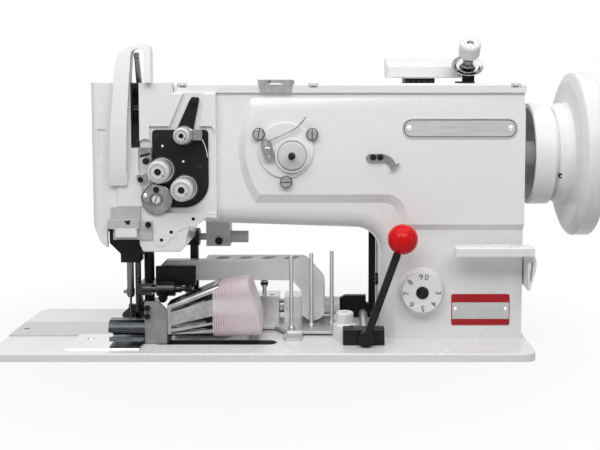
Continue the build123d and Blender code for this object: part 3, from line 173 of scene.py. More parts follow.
surface("white_enamel", grey(0.80), grey(0.808), (0.27, 0.276), coat=0.3, patch=12, fine=22, bump=0)
# Near black painted on faces inside hollows, slots, holes and the table's well, as painted shade.
surface("painted_shade", grey(0.02), (0.05, 0.048, 0.045), (0.5, 0.8), patch=90, bump=0.2)
surface("grey_enamel", (0.64, 0.645, 0.64), grey(0.70), (0.35, 0.5), coat=0.2, fine=1500, bump=0.1)
surface("polished_steel", grey(0.74), grey(0.82), (0.10, 0.2), metal=1.0, bump=0.01)
# Brighter metal painted on the bevelled edges of dark parts, as painted highlight.
surface("painted_edge_highlight", grey(0.55), (0.72, 0.72, 0.71), (0.18, 0.3), metal=1.0, fine=1500, bump=0.03)
brushed("machined_steel", (0.50, 0.50, 0.49), (0.64, 0.64, 0.63), (0.24, 0.4), 0)
brushed("strip_steel", grey(0.52), (0.60, 0.60, 0.59), (0.30, 0.42), 0)
surface("satin_steel", (0.56, 0.56, 0.55), (0.66, 0.66, 0.65), (0.28, 0.38), metal=1.0, fine=2000, bump=0.03)
surface("black_steel", grey(0.008), grey(0.018), (0.32, 0.5), fine=2500, bump=0.15, shine=0.15)
surface(
    "black_plate", (0.010, 0.011, 0.011), (0.016, 0.017, 0.017), (0.42, 0.55),
    fine=3000, bump=0.1, shine=0.12,
)
brushed("gunmetal", (0.025, 0.028, 0.032), (0.075, 0.08, 0.085), (0.22, 0.36), 0)
brushed("dark_steel", grey(0.10), (0.20, 0.20, 0.195), (0.25, 0.4), 2)
surface(
    "tinted_steel", (0.13, 0.065, 0.045), (0.20, 0.11, 0.08), (0.3, 0.45), metal=0.8, fine=1500, bump=0.05,
)
surface(
    "grey_steel", (0.20, 0.20, 0.195), (0.30, 0.30, 0.295), (0.2, 0.32),
    metal=1.0, patch=90, fine=1500, bump=0.03,
)
surface("chrome", grey(0.30), grey(0.44), (0.06, 0.14), metal=1.0, patch=120, bump=0.01)
surface(
    "white_plastic", (0.81, 0.81, 0.805), (0.82, 0.82, 0.815), (0.27, 0.276),
    patch=15, fine=25, bump=0, shine=0.2,
)
surface("red_plastic", (0.62, 0.001, 0.003), (0.70, 0.002, 0.004), (0.05, 0.08), bump=0.01, shine=0.15)
surface("belt_rubber", grey(0.010), grey(0.02), (0.6, 0.8), fine=1200, bump=0.2)
brushed("plate_silver", (0.42, 0.425, 0.43), (0.54, 0.545, 0.55), (0.28, 0.4), 0)
surface("plate_red", (0.36, 0.008, 0.012), (0.42, 0.012, 0.016), (0.25, 0.35), bump=0.02, shine=0.25)
# Black for print, and also painted as shade in holes and sockets.
surface("black_print_and_shade", (0.012, 0.012, 0.013), grey(0.02), (0.4, 0.5), fine=2500, bump=0.02, shine=0.15)
surface("drum_rim", (0.05, 0.038, 0.03), (0.10, 0.08, 0.065), (0.5, 0.7), metal=0.3, patch=160, bump=0.2)
surface(
    "knob_plastic", (0.60, 0.60, 0.59), (0.66, 0.66, 0.65), (0.26, 0.34),
    coat=0.2, patch=60, fine=600, bump=0.004,
)
surface(
    "zinc_grey", (0.22, 0.22, 0.215), (0.30, 0.30, 0.295), (0.3, 0.45),
    patch=80, fine=1200, bump=0.05, shine=0.3,
)
surface(
    "smoked_plate", (0.42, 0.43, 0.43), (0.50, 0.51, 0.51), (0.15, 0.25),
    coat=0.5, patch=60, fine=600, bump=0.004,
)


def ribbed_foam():
    """Soft sleeve: pink, deepest in the valleys of its ribs as painted shade, white on their crests and in a band
    half-way up, and paler towards its open end.
    """
    tree, shader, source = new_finish("pink_foam")
    parts = tree.nodes.new("ShaderNodeSeparateXYZ")
    tree.links.new(source, parts.inputs["Vector"])
    height = tree.nodes.new("ShaderNodeMath")
    height.operation = "SUBTRACT"
    height.inputs[1].default_value = at(0, 0, 38).z
    tree.links.new(parts.outputs["Z"], height.inputs[0])
    away = combine(tree, "ABSOLUTE", height.outputs["Value"])
    band = spread(tree, away, 0.0, 1.0, mm(3), mm(11), "SMOOTHSTEP")
    rib = tree.nodes.new("ShaderNodeAttribute")
    rib.attribute_name = "rib_depth"
    # Deeper pink in the rib valleys is painted shade in the creases.
    pink = combine(tree, "MULTIPLY", band, rib.outputs["Fac"])
    uneven = combine(tree, "MULTIPLY", pink, spread(tree, grain(tree, source, 70.0), 0.55, 1.1))
    fade = spread(tree, parts.outputs["X"], 1.0, 0.3, mm(-50), mm(-8))
    paled = combine(tree, "MULTIPLY", uneven, fade)
    colour = blend_colours(tree, paled, (0.72, 0.66, 0.69), (0.30, 0.075, 0.17), 0.0, 1.0)
    tree.links.new(colour, shader.inputs["Base Color"])
    fuzz = grain(tree, source, 2200.0, 4.0)
    tree.links.new(spread(tree, fuzz, 0.65, 0.9), shader.inputs["Roughness"])
    relief(tree, shader, fuzz, 0.35, mm(0.3))
    shader.inputs["Sheen Weight"].default_value = 0.3


ribbed_foam()

for node, slot in slot_of.items():
    nodes[node].data.materials.clear()
    nodes[node].data.materials.append(finishes[slot])


# ---- Ways of working ----

SMOOTH_BELOW = math.radians(40)     # edges that turn less than this are shaded smooth
WIRE_SMOOTH = math.radians(60)      # the same for wires and rivets
ONE_POINT = mm(0.002)               # a node's points closer than this are one
ONE_FLAT = math.radians(0.4)        # and its faces that turn less than this are one flat


def let_go():
    """Leave no piece selected."""
    bpy.ops.object.select_all(action="DESELECT")


def mode(kind):
    """Go to EDIT or OBJECT mode."""
    bpy.ops.object.mode_set(mode=kind)


def take_all():
    """Select the whole of the piece that is open in edit mode."""
    bpy.ops.mesh.select_all(action="SELECT")


def only(piece):
    """Leave this piece alone selected and active."""
    let_go()
    piece.select_set(True)
    bpy.context.view_layer.objects.active = piece


def edit_all(piece):
    """Open the piece in edit mode with everything selected."""
    only(piece)
    mode("EDIT")
    take_all()


def close_up():
    """Merge doubled points, turn the faces outwards and leave edit mode."""
    take_all()
    bpy.ops.mesh.remove_doubles(threshold=1e-6)
    bpy.ops.mesh.normals_make_consistent(inside=False)
    mode("OBJECT")


def first_point(name, place):
    """New piece with one point, selected and open in edit mode."""
    let_go()
    bpy.ops.mesh.primitive_plane_add(size=mm(1), location=(0, 0, 0))
    piece = bpy.context.object
    piece.name = piece.data.name = name
    mode("EDIT")
    take_all()
    bpy.ops.mesh.merge(type="CENTER")
    bpy.ops.transform.translate(value=place)
    return piece


def pull(way):
    """Extrude what is selected along a vector."""
    bpy.ops.mesh.extrude_region_move(TRANSFORM_OT_translate={"value": way})


def draw(places):
    """Extrude the selected point from place to place."""
    for here, there in zip(places, places[1:]):
        pull(there - here)


def pointing(axis):
    """Turn that stands a piece made along Z along another axis."""
    return Vector(axis).to_track_quat("Z", "Y").to_matrix().to_4x4()


def lathe(name, profile, origin, axis, steps=64, rounding=()):
    """Turned piece: points of (distance along the axis, radius), in millimetres, spun round the axis.

    Its rounding is the width, and if need be the segments and limit, that soften takes.
    """
    axis = Vector(axis).normalized()
    side = axis.orthogonal().normalized()
    places = [origin + axis * mm(along) + side * mm(radius) for along, radius in profile]
    piece = first_point(name, places[0])
    draw(places)
    take_all()
    bpy.ops.mesh.spin(steps=steps, angle=2 * math.pi, center=origin, axis=axis)
    close_up()
    if rounding:
        soften(piece, *rounding)
    return piece


def flat_face(name, outline):
    """New piece with one face, open in edit mode with everything selected."""
    piece = first_point(name, outline[0])
    draw(outline)
    take_all()
    bpy.ops.mesh.edge_face_add()
    return piece


def disc(name, origin, axis, radius, height, steps=32, rounding=()):
    """Plain round disc that stands on a place."""
    profile = ((0, 0), (0, radius), (height, radius), (height, 0))
    return lathe(name, profile, origin, axis, steps, rounding)


def ring(name, origin, axis, inner, outer, height, steps=40, rounding=()):
    """Plain ring that stands on a place."""
    profile = ((0, inner), (0, outer), (height, outer), (height, inner), (0, inner))
    return lathe(name, profile, origin, axis, steps, rounding)


def cut_out(name, outline, depth, corner=0.0, corner_steps=5):
    """Flat piece: a closed outline of places with its corners rounded, given its depth along a vector."""
    piece = flat_face(name, outline)
    if corner:
        bpy.ops.mesh.bevel(offset=mm(corner), segments=corner_steps, affect="VERTICES")
    take_all()
    pull(depth)
    close_up()
    return piece


def front_plate(name, points, y, depth, corner=0.0, corner_steps=5):
    """Flat piece with an outline of X and Z, standing at Y and growing by its depth towards the front."""
    return cut_out(name, [at(x, y, z) for x, z in points], FORWARD * mm(depth), corner, corner_steps)


def rectangle(x0, x1, z0, z1):
    """Corners of a rectangle, in millimetres."""
    return (x0, z0), (x1, z0), (x1, z1), (x0, z1)


def soften(piece, width, segments=2, limit=30.0, highlight_finish=None):
    """Round the piece's edges that turn more than limit, smooth its curves, and leave its flats flat."""
    only(piece)
    bevel = piece.modifiers.new("rounding", "BEVEL")
    bevel.width = mm(width)
    bevel.segments = segments
    bevel.limit_method = "ANGLE"
    bevel.angle_limit = math.radians(limit)
    # A second finish on the bevels paints highlight along the rounded edges.
    if highlight_finish:
        piece.data.materials.append(finishes[highlight_finish])
        bevel.material = len(piece.data.materials) - 1
    bpy.ops.object.modifier_apply(modifier=bevel.name)
    bpy.ops.object.shade_smooth_by_angle(angle=SMOOTH_BELOW)
    weighted = piece.modifiers.new("even", "WEIGHTED_NORMAL")
    weighted.keep_sharp = True
    bpy.ops.object.modifier_apply(modifier=weighted.name)


def mount(piece, body, slot, finish=None, instead_of=()):
    """Give a piece its body and its finish, the slot's own unless another is named, and hide the plain nodes that
    it stands for.
    """
    main = finishes[finish or slot]
    if piece.data.materials:
        piece.data.materials[0] = main
    else:
        piece.data.materials.append(main)
    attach(piece, body)
    if instead_of:
        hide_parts(*instead_of)
    return piece


def rounded_copy(node, width, finish=None, highlight_finish=None, segments=2, limit=30.0):
    """Copy of a node with its flats joined and its sharp edges rounded, shown in the node's place."""
    piece = bpy.data.objects.new(node + "_shell", nodes[node].data.copy())
    bpy.context.scene.collection.objects.link(piece)
    edit_all(piece)
    bpy.ops.mesh.customdata_custom_splitnormals_clear()
    bpy.ops.mesh.remove_doubles(threshold=ONE_POINT)
    bpy.ops.mesh.dissolve_limited(angle_limit=ONE_FLAT)
    mode("OBJECT")
    piece.data.materials.clear()
    piece.data.materials.append(finishes[finish or slot_of[node]])
    soften(piece, width, segments, limit, highlight_finish)
    return mount(piece, body_of[node], slot_of[node], finish, [node])


def paint_inside(piece, low, high, finish):
    """Give the faces whose middle lies between two opposite corners another finish."""
    piece.data.materials.append(finishes[finish])
    index = len(piece.data.materials) - 1
    for face in piece.data.polygons:
        if all(low[i] <= face.center[i] <= high[i] for i in range(3)):
            face.material_index = index


def carve(piece, tool):
    """Cut a tool's shape out of a piece and throw the tool away."""
    only(piece)
    cut = piece.modifiers.new("cut", "BOOLEAN")
    cut.object = tool
    cut.operation = "DIFFERENCE"
    bpy.ops.object.modifier_apply(modifier=cut.name)
    bpy.data.objects.remove(tool)


def slotted_screw(name, origin, axis, radius, height, turn=0.0, width=0.3):
    """Cheese-head screw with a straight slot across its face, the slot's walls and floor painted dark as shade."""
    screw = disc(name, origin, axis, radius, height, 40, (min(0.35, radius * 0.1),))
    screw.data.materials.append(finishes["satin_steel"])
    axis = Vector(axis).normalized()
    let_go()
    bpy.ops.mesh.primitive_cube_add(size=1)
    blade = bpy.context.object
    size = Matrix.Diagonal((mm(radius * 2.4), mm(radius * width), mm(height * 0.9), 1))
    turned = pointing(axis) @ Matrix.Rotation(math.radians(turn), 4, "Z")
    blade.data.transform(Matrix.Translation(origin + axis * mm(height)) @ turned @ size)
    carve(screw, blade)
    # The slot's walls and floor are painted near black as shade.
    screw.data.materials.append(finishes["painted_shade"])
    for face in screw.data.polygons:
        up = (face.center - origin).dot(axis)
        out = (face.center - origin - axis * up).length
        if mm(height * 0.3) < up < mm(height * 0.98) and out < mm(radius * 0.97):
            face.material_index = 1
    return screw


def tick_ring(name, origin, axis, start, end, width, count):
    """Ring of thin inked marks between two points of (distance along the axis, radius)."""
    axis = Vector(axis).normalized()
    side = axis.orthogonal().normalized()
    across = axis.cross(side) * mm(width / 2)
    near = origin + axis * mm(start[0]) + side * mm(start[1])
    far = origin + axis * mm(end[0]) + side * mm(end[1])
    thickness = side * mm(0.05) + axis * mm(0.03)
    marks = flat_face(name, [near - across, near + across, far + across, far - across])
    pull(thickness)
    take_all()
    angle = 2 * math.pi * (count - 1) / count
    bpy.ops.mesh.spin(steps=count - 1, dupli=True, angle=angle, center=origin, axis=axis)
    close_up()
    return marks


def coil(name, origin, axis, radius, thickness, turns, length):
    """Coil round an axis: its own radius, the radius of its wire, its turns and its length."""
    let_go()
    bpy.ops.mesh.primitive_circle_add(
        vertices=8, radius=mm(thickness), rotation=(math.pi / 2, 0, 0), location=(mm(radius), 0, 0),
    )
    spring = bpy.context.object
    spring.name = spring.data.name = name
    bpy.ops.object.transform_apply(location=True, rotation=True, scale=True)
    screw = spring.modifiers.new("wind", "SCREW")
    screw.steps = screw.render_steps = 28
    screw.iterations = turns
    screw.screw_offset = mm(length / turns)
    bpy.ops.object.modifier_apply(modifier=screw.name)
    spring.data.transform(Matrix.Translation(origin) @ pointing(axis))
    edit_all(spring)
    close_up()
    bpy.ops.object.shade_smooth_by_angle(angle=WIRE_SMOOTH)
    return spring


def wire(name, places, radius):
    """Bent round wire through given places."""
    curve = bpy.data.curves.new(name, "CURVE")
    curve.dimensions = "3D"
    curve.bevel_depth = mm(radius)
    curve.bevel_resolution = 3
    curve.use_fill_caps = True
    line = curve.splines.new("NURBS")
    line.points.add(len(places) - 1)
    for point, place in zip(line.points, places):
        point.co = (*place, 1)
    line.order_u = 3
    line.use_endpoint_u = True
    line.resolution_u = 8
    rod = bpy.data.objects.new(name, curve)
    bpy.context.scene.collection.objects.link(rod)
    only(rod)
    bpy.ops.object.convert(target="MESH")
    rod = bpy.context.object
    bpy.ops.object.shade_smooth_by_angle(angle=WIRE_SMOOTH)
    return rod


# ---- Castings and covers ----

PANEL = 46.0            # Y of the raised panel's face
ARM_FACE = 52.0         # Y of the column's face
HEAD_FACE = 42.0        # Y of the head's face
LID_TOP = 252.3         # Z of the lid's top
BACK = (0, 1, 0)
pivot = {joint["name"]: Vector(joint["pos_m"]) for joint in frame["joints"] if joint["type"] == "hinge"}


def castings():
    """Painted castings and covers, rounded as they come from the mould, with painted shade on faces inside the
    head, the take-up slot and the arm.
    """
    arm = rounded_copy("arm_casting", 1.6, segments=3)
    head_room = (-151, 50.5, 100.5), (-98.5, 116.5, 242.4)
    take_up_slot = (-127.4, 43, 190.5), (-119.6, 52.5, 242.4)
    arm_room = (-49, 62.5, 128.5), (242, 129.5, 242.4)
    # Faces inside the head, the take-up slot and the arm are painted near black as shade.
    for low, high in (head_room, take_up_slot, arm_room):
        paint_inside(arm, at(*low), at(*high), "painted_shade")
    bed = rounded_copy("bed_casting", 0.4)
    # The walls of the slot in the bed are painted near black as shade.
    paint_inside(bed, at(-108.5, 30.5, -9), at(12.5, 47.5, -0.4), "painted_shade")
    for cover, width in (("top_cover", 0.5), ("face_cover", 0.8), ("rear_cover", 0.5)):
        rounded_copy(cover, width)
    rounded_copy("take_up_guard", 1.2, segments=3)
    rounded_copy("needle_plate", 0.2, "strip_steel")
    rounded_copy("slide_plate", 0.25)
    rounded_copy("reverse_lever", 0.9)


def join(name, pieces):
    """One piece out of several."""
    let_go()
    for piece in pieces:
        piece.select_set(True)
    whole = pieces[0]
    bpy.context.view_layer.objects.active = whole
    bpy.ops.object.join()
    whole.name = whole.data.name = name
    return whole


def socket_screw(name, origin, axis, radius, height):
    """Round-headed screw with a hexagon socket."""
    head = disc(name, origin, axis, radius, height, 32, (radius * 0.18,))
    axis = Vector(axis).normalized()
    let_go()
    bpy.ops.mesh.primitive_cylinder_add(vertices=6, radius=mm(radius * 0.5), depth=mm(height))
    key = bpy.context.object
    key.data.transform(Matrix.Translation(origin + axis * mm(height)) @ pointing(axis))
    carve(head, key)
    return head


def plug_group(name, places, axis, radius, height):
    """Group of equal socket screws."""
    plugs = [socket_screw(f"{name}_{n}", place, axis, radius, height) for n, place in enumerate(places)]
    return join(name, plugs)


def cover_screws():
    """Slotted screws of the lid, the bed, the rear cover, the winder and the column."""
    group = [slotted_screw(f"lid_screw_{x}", at(x, 51.5, 248), UP, 2.4, 2.2) for x in (-79, 48, 244)]
    group.append(slotted_screw("plate_screw", at(-248.5, 91, -1.6), UP, 3.0, 1.6))
    for x in (163, 233):
        for z in (31, 133):
            group.append(slotted_screw(f"rear_screw_{x}_{z}", at(x, 167, z), BACK, 3.5, 2, 20))
    mount(join("cover_screws", group), "frame", "polished_steel", "grey_steel", ["screws"])
    heads, seats = [], []
    for x, z, turn in ((-4.6, 203.3, 80), (46.9, 203.1, 90), (21.6, 156.9, 0)):
        place = at(x, PANEL, z)
        heads.append(slotted_screw(f"winder_screw_{x}", place, FORWARD, 5.0, 5.6, turn, 0.16))
        seats.append(ring(f"screw_seat_{x}", place, FORWARD, 5.3, 6.0, 4.6))
    mount(join("winder_screws", heads), "frame", "polished_steel", "chrome")
    mount(join("screw_seats", seats), "frame", "black_steel", "dark_steel")
    plug = slotted_screw("column_plug", at(113.2, 96, 51), -RIGHT, 6.3, 3)
    mount(plug, "frame", "black_steel")


def rivets(name, centre, reach, dome, steps):
    """Two domed rivets, left and right of a plate's middle."""
    pair = [lathe(f"{name}_{n}", dome, centre + RIGHT * mm(n * reach), FORWARD, steps) for n in (-1, 1)]
    pair = join(name, pair)
    only(pair)
    bpy.ops.object.shade_smooth_by_angle(angle=WIRE_SMOOTH)
    mount(pair, "frame", "polished_steel")


def name_plate():
    """Bare silver plate with a sunk border and a rivet at each end."""
    x, z, half, high = 189.6, 208.7, 55.8, 10.0

    def layer(name, inset, y, depth, corner):
        points = rectangle(x - half + inset, x + half - inset, z - high + inset, z + high - inset)
        return front_plate(name, points, y, depth, high * corner, 12)

    plate = layer("name_plate", 0, PANEL, 1, 0.96)
    soften(plate, 0.25)
    mount(plate, "frame", "polished_steel", "plate_silver")
    border = layer("name_plate_border", 1.4, PANEL - 1, 0.12, 0.82)
    mount(border, "frame", "black_steel", "gunmetal")
    field = layer("name_plate_field", 2.3, PANEL - 1.1, 0.15, 0.72)
    mount(field, "frame", "polished_steel", "plate_silver")
    dome = ((0, 0), (0, 2.9), (0.5, 2.7), (1.1, 1.7), (1.35, 0))
    rivets("name_plate_rivets", at(x, PANEL - 1.2, z), 49, dome, 32)


def data_plate():
    """Small plate low on the column: two plain red bands and a bare silver field between them."""
    x, z, half, high, thick = 212.3, 29.5, 28.7, 15.5, 0.8
    points = rectangle(x - half, x + half, z - high, z + high)
    plate = front_plate("data_plate", points, ARM_FACE, thick, 1.8)
    soften(plate, 0.15)
    mount(plate, "frame", "red_plastic", "plate_red")
    points = rectangle(x - half + 0.7, x + half - 0.7, z - 9.2, z + 7.2)
    field = front_plate("data_plate_field", points, ARM_FACE - thick, 0.1)
    mount(field, "frame", "polished_steel", "plate_silver")
    dome = ((0, 0), (0, 2.1), (0.4, 1.9), (0.8, 1.2), (0.95, 0))
    rivets("data_plate_rivets", at(x, ARM_FACE - 0.9, z + 0.6), 24.6, dome, 28)


# ---- Handwheel and controls ----

LEVER = (98.5, 8.0)     # X and Z of the hand lever's shaft
BALL = (133.0, 104.5)   # and of its ball


def handwheel():
    """Dished wheel in one piece with its grooved collar and open drum, and its set screw."""
    axle = at(0, 92, 181)
    profile = (
        (280, 7), (280, 46), (263, 46), (263, 51), (283, 51), (283, 44), (287, 44), (287, 47), (293, 51),
        (301, 51.6), (302, 72.5), (305.3, 80.7), (307, 82.5), (323, 82.5), (323, 73.5), (321, 71.5),
        (310, 67.5), (308, 34), (311, 27), (326, 22), (326, 7), (280, 7),
    )
    wheel = lathe("handwheel_rim", profile, axle, RIGHT, 144, (1.0, 3, 18))
    # The drum's open end face is coloured dark brown.
    paint_inside(wheel, at(262.5, 0, 0), at(263.5, 200, 300), "drum_rim")
    mount(wheel, "main_shaft", "white_plastic", instead_of=["handwheel"])
    out = Vector((0, -0.92, -0.39)).normalized()
    place = axle + RIGHT * mm(289.6) + out * mm(45.5)
    screw = socket_screw("wheel_set_screw", place, out + RIGHT * -0.35, 3.0, 3.0)
    mount(screw, "main_shaft", "black_steel")


def digit(text, middle, turn, radius, size):
    """Number on the front of a dial, turned by an angle in degrees from the top, its head outwards."""
    out = Vector((math.sin(math.radians(turn)), 0, math.cos(math.radians(turn))))
    right = out.cross(FORWARD)
    let_go()
    bpy.ops.object.text_add(location=(0, 0, 0))
    number = bpy.context.object
    number.name = number.data.name = "dial_number_" + text
    number.data.body = text
    number.data.size = mm(size)
    number.data.extrude = mm(0.04)
    number.data.align_x = "CENTER"
    number.data.align_y = "CENTER"
    bpy.ops.object.convert(target="MESH")
    number = bpy.context.object
    facing = Matrix((right, out, FORWARD)).transposed().to_4x4()
    number.data.transform(Matrix.Translation(middle + out * mm(radius)) @ facing)
    return number


def stitch_dial():
    """Stitch dial with its graduated rim, its numbers and its dark centre screw."""
    centre = pivot["stitch_dial_turn"]
    middle = Vector((centre.x, at(0, ARM_FACE - 0.4, 0).y, centre.z))
    thick = 13.6
    profile = (
        (-9, 0), (-9, 6), (0, 6), (0, 22.7), (3.4, 22.7), (3.8, 21.6), (10.8, 21.4),
        (thick, 19.4), (thick, 0),
    )
    dial = lathe("dial", profile, middle, FORWARD, 96, (0.4, 2, 20))
    mount(dial, "stitch_dial", "white_plastic", instead_of=["stitch_dial"])
    marks = tick_ring("dial_marks", middle, FORWARD, (11.5, 20.95), (13.2, 19.75), 0.28, 60)
    face = middle + FORWARD * mm(thick + 0.03)
    places = (("9", 355), ("0", 15), ("3", 90), ("4", 134), ("5", 178), ("6", 222), ("7", 267), ("8", 311))
    numbers = [digit(text, face, turn, 15.4, 8.0) for text, turn in places]
    mount(join("dial_numbers", [marks, *numbers]), "stitch_dial", "black_steel", "black_print_and_shade")
    screw = slotted_screw("dial_screw", face, FORWARD, 6.2, 0.9, 60, 0.14)
    mount(screw, "stitch_dial", "black_steel", "black_plate")


def lever_ball():
    """Glossy red ball with the flat that it sits on its lever with."""
    radius, flat, y = 14.5, 13.2, 21
    centre = at(BALL[0], y, BALL[1])
    down = (at(LEVER[0], y, LEVER[1]) - centre).normalized()
    let_go()
    bpy.ops.mesh.primitive_uv_sphere_add(segments=72, ring_count=36, radius=mm(radius), location=(0, 0, 0))
    ball = bpy.context.object
    ball.name = ball.data.name = "red_ball"
    ball.data.transform(Matrix.Translation(centre) @ pointing(down))
    edit_all(ball)
    bpy.ops.mesh.bisect(plane_co=centre + down * mm(flat), plane_no=down, clear_outer=True, use_fill=True)
    close_up()
    soften(ball, 0.5, 3, 25)
    mount(ball, "lift_lever", "red_plastic", instead_of=["lever_ball"])


def lift_controls():
    """Hand lever, its block with four screws, the rear bar and the steel cross shaft."""
    x, z = LEVER
    rounded_copy("lift_lever", 1.2, "black_steel", segments=3)
    rounded_copy("lever_block", 0.6)
    rounded_copy("lift_bar", 0.5)
    places = [at(x + dx, y, 13.4) for dx, y in ((-15.5, 33), (-8.5, 39.5), (5.5, 39.5), (12.5, 33))]
    mount(plug_group("block_screws", places, UP, 2.5, 1.4), "frame", "black_steel", "dark_steel")
    sleeve = ring("shaft_sleeve", at(x, 45.5, z), BACK, 4.02, 4.5, 78, 32, (0.2,))
    mount(sleeve, "lift_lever", "polished_steel", "satin_steel")
    tip = socket_screw("lever_tip_screw", at(x, 19, z), FORWARD, 3.6, 0.8)
    mount(tip, "lift_lever", "black_steel", "dark_steel")


def bed_post():
    """White stepped post with a hole in its top and a slot in its step, both painted dark as shade."""
    x, y = LEVER[0] - 20, 57.0
    profile = (
        (0, 0), (0, 11.8), (14, 11.8), (15.5, 8.8), (25, 8.8), (26, 7.8), (26, 3.6), (18, 3.6), (18, 0),
        (0, 0),
    )
    post = lathe("stepped_post", profile, at(x, y, 0), UP, 64, (0.5, 3, 25))
    # The hole in the post's top is painted near black as shade.
    paint_inside(post, at(x - 3.8, y - 3.8, 17), at(x + 3.8, y + 3.8, 25.9), "painted_shade")
    mount(post, "frame", "white_enamel", instead_of=["bed_post"])
    bolt = slotted_screw("post_bolt", at(x + 6, y - 8.8, 14.1), UP, 2.4, 0.6, 30)
    mount(bolt, "frame", "black_steel", "dark_steel")


# ---- Thread tension ----

SEAT = 43.0             # Y of the black plate's face
GUIDE_FACE = 38.0       # Y of the controller disc and of the guides
TENSIONS = {            # X and Z, radius of the discs, length of the post, radius and length of the knob
    "left": (-98.0, 168.7, 11.9, 22, 11.0, 16),
    "right": (-76.0, 151.5, 11.9, 22, 11.0, 16),
    "small": (-76.3, 202.5, 8.4, 18, 8.1, 11),
}


def tension_knob(side):
    """White thumb nut with a black cone in its socket as painted shade, a dot on its face and graduations on its
    rim.
    """
    x, z, _, _, radius, length = TENSIONS[side]
    bore, y = 2.75, SEAT - 10
    origin = at(x, y, z)
    body = f"knob_{side}"
    cup_floor, cup = length - 3, radius * 0.3
    profile = (
        (0, bore), (0, radius * 0.86), (2, radius), (length - 3, radius), (length - 0.8, radius * 0.88),
        (length, radius * 0.76), (length, cup), (cup_floor, cup), (cup_floor, bore), (0, bore),
    )
    knob = lathe(body, profile, origin, FORWARD, 72, (0.35, 2, 22))
    mount(knob, body, "white_plastic", "knob_plastic", [f"tension_knob_{side}"])
    start, end = (length, radius * 0.56), (length, radius * 0.73)
    marks = tick_ring(f"knob_marks_{side}", origin, FORWARD, start, end, 0.55, 24)
    start, end = (length - 6.5, radius * 1.004), (length - 3.0, radius * 1.004)
    rim_marks = tick_ring(f"knob_rim_marks_{side}", origin, FORWARD, start, end, 0.8, 28)
    place = at(x + radius * 0.42, y - length, z - radius * 0.3)
    dot = disc(f"knob_dot_{side}", place, FORWARD, 0.75, 0.06, 20)
    floor, rim = length - 2.9, length - 2.0
    profile = ((floor, 0), (floor, radius * 0.29), (floor + 0.2, radius * 0.29), (rim, 1.6), (rim, 0))
    # A black cone in the knob's socket is painted shade.
    socket = lathe(f"knob_socket_{side}", profile, origin, FORWARD, 32)
    mount(join(f"knob_print_and_shade_{side}", [marks, rim_marks, dot, socket]), body, "black_steel", "black_print_and_shade")


def tension_stack(side):
    """Dark washer of one tension, and its pair of polished discs, its post and its spring."""
    x, z, wide, reach, _, _ = TENSIONS[side]
    seat = at(x, SEAT, z)
    washer = disc(f"washer_{side}", seat, FORWARD, wide + 1.4, 0.9, 64, (0.2,))
    profile = (
        (1.0, 0), (1.0, 5), (1.6, wide), (2.4, wide), (3.4, 7), (4.4, wide), (5.2, wide), (5.6, 6), (5.6, 0),
    )
    discs = lathe(f"discs_{side}", profile, seat, FORWARD, 72, (0.15, 2, 20))
    post = lathe(f"post_{side}", ((5.4, 0), (5.4, 2.6), (reach, 2.6), (reach, 0)), seat, FORWARD, 32, (0.4,))
    spring = coil(f"spring_{side}", seat + FORWARD * mm(5.9), FORWARD, 5.4, 0.5, 3, 3.6)
    return washer, [discs, post, spring]


def thread_tension():
    """Black plate with its three tensions, and the check spring over its right edge."""
    rounded_copy("tension_plate", 0.5, "black_plate")
    rounded_copy("thread_arm", 0.5, "black_plate")
    rounded_copy("thread_guides", 0.3, "grey_steel")
    washers, bright = [], []
    for side in TENSIONS:
        washer, stack = tension_stack(side)
        washers.append(washer)
        bright += stack
    mount(join("tension_washers", washers), "frame", "black_steel", "gunmetal")
    mount(join("tension_discs", bright), "frame", "polished_steel", "chrome", ["tension_stacks"])
    for side in TENSIONS:
        tension_knob(side)
    screws = [
        slotted_screw("plate_screw_a", at(-103.2, SEAT, 201.4), FORWARD, 2.6, 0.8, 60),
        slotted_screw("plate_screw_b", at(-62.6, SEAT, 171), FORWARD, 2.8, 0.8),
    ]
    mount(join("tension_plate_screws", screws), "frame", "black_steel")
    dome = ((0, 0), (0, 1.3), (0.8, 1.1), (1.1, 0))
    places = ((-97.5, 191.8), (-77.5, 176.8))
    pins = [lathe(f"plate_pin_{x}", dome, at(x, SEAT, z), FORWARD, 20) for x, z in places]
    mount(join("tension_plate_pins", pins), "frame", "polished_steel")
    spring = [
        at(-76.5, 40.5, 210), at(-70, 38.5, 208.5), at(-62.5, 37.5, 204.5),
        at(-57.5, 38, 197), at(-54.6, 39.5, 188), at(-53.9, 41, 181),
    ]
    mount(wire("check_spring", spring, 0.45), "frame", "polished_steel")


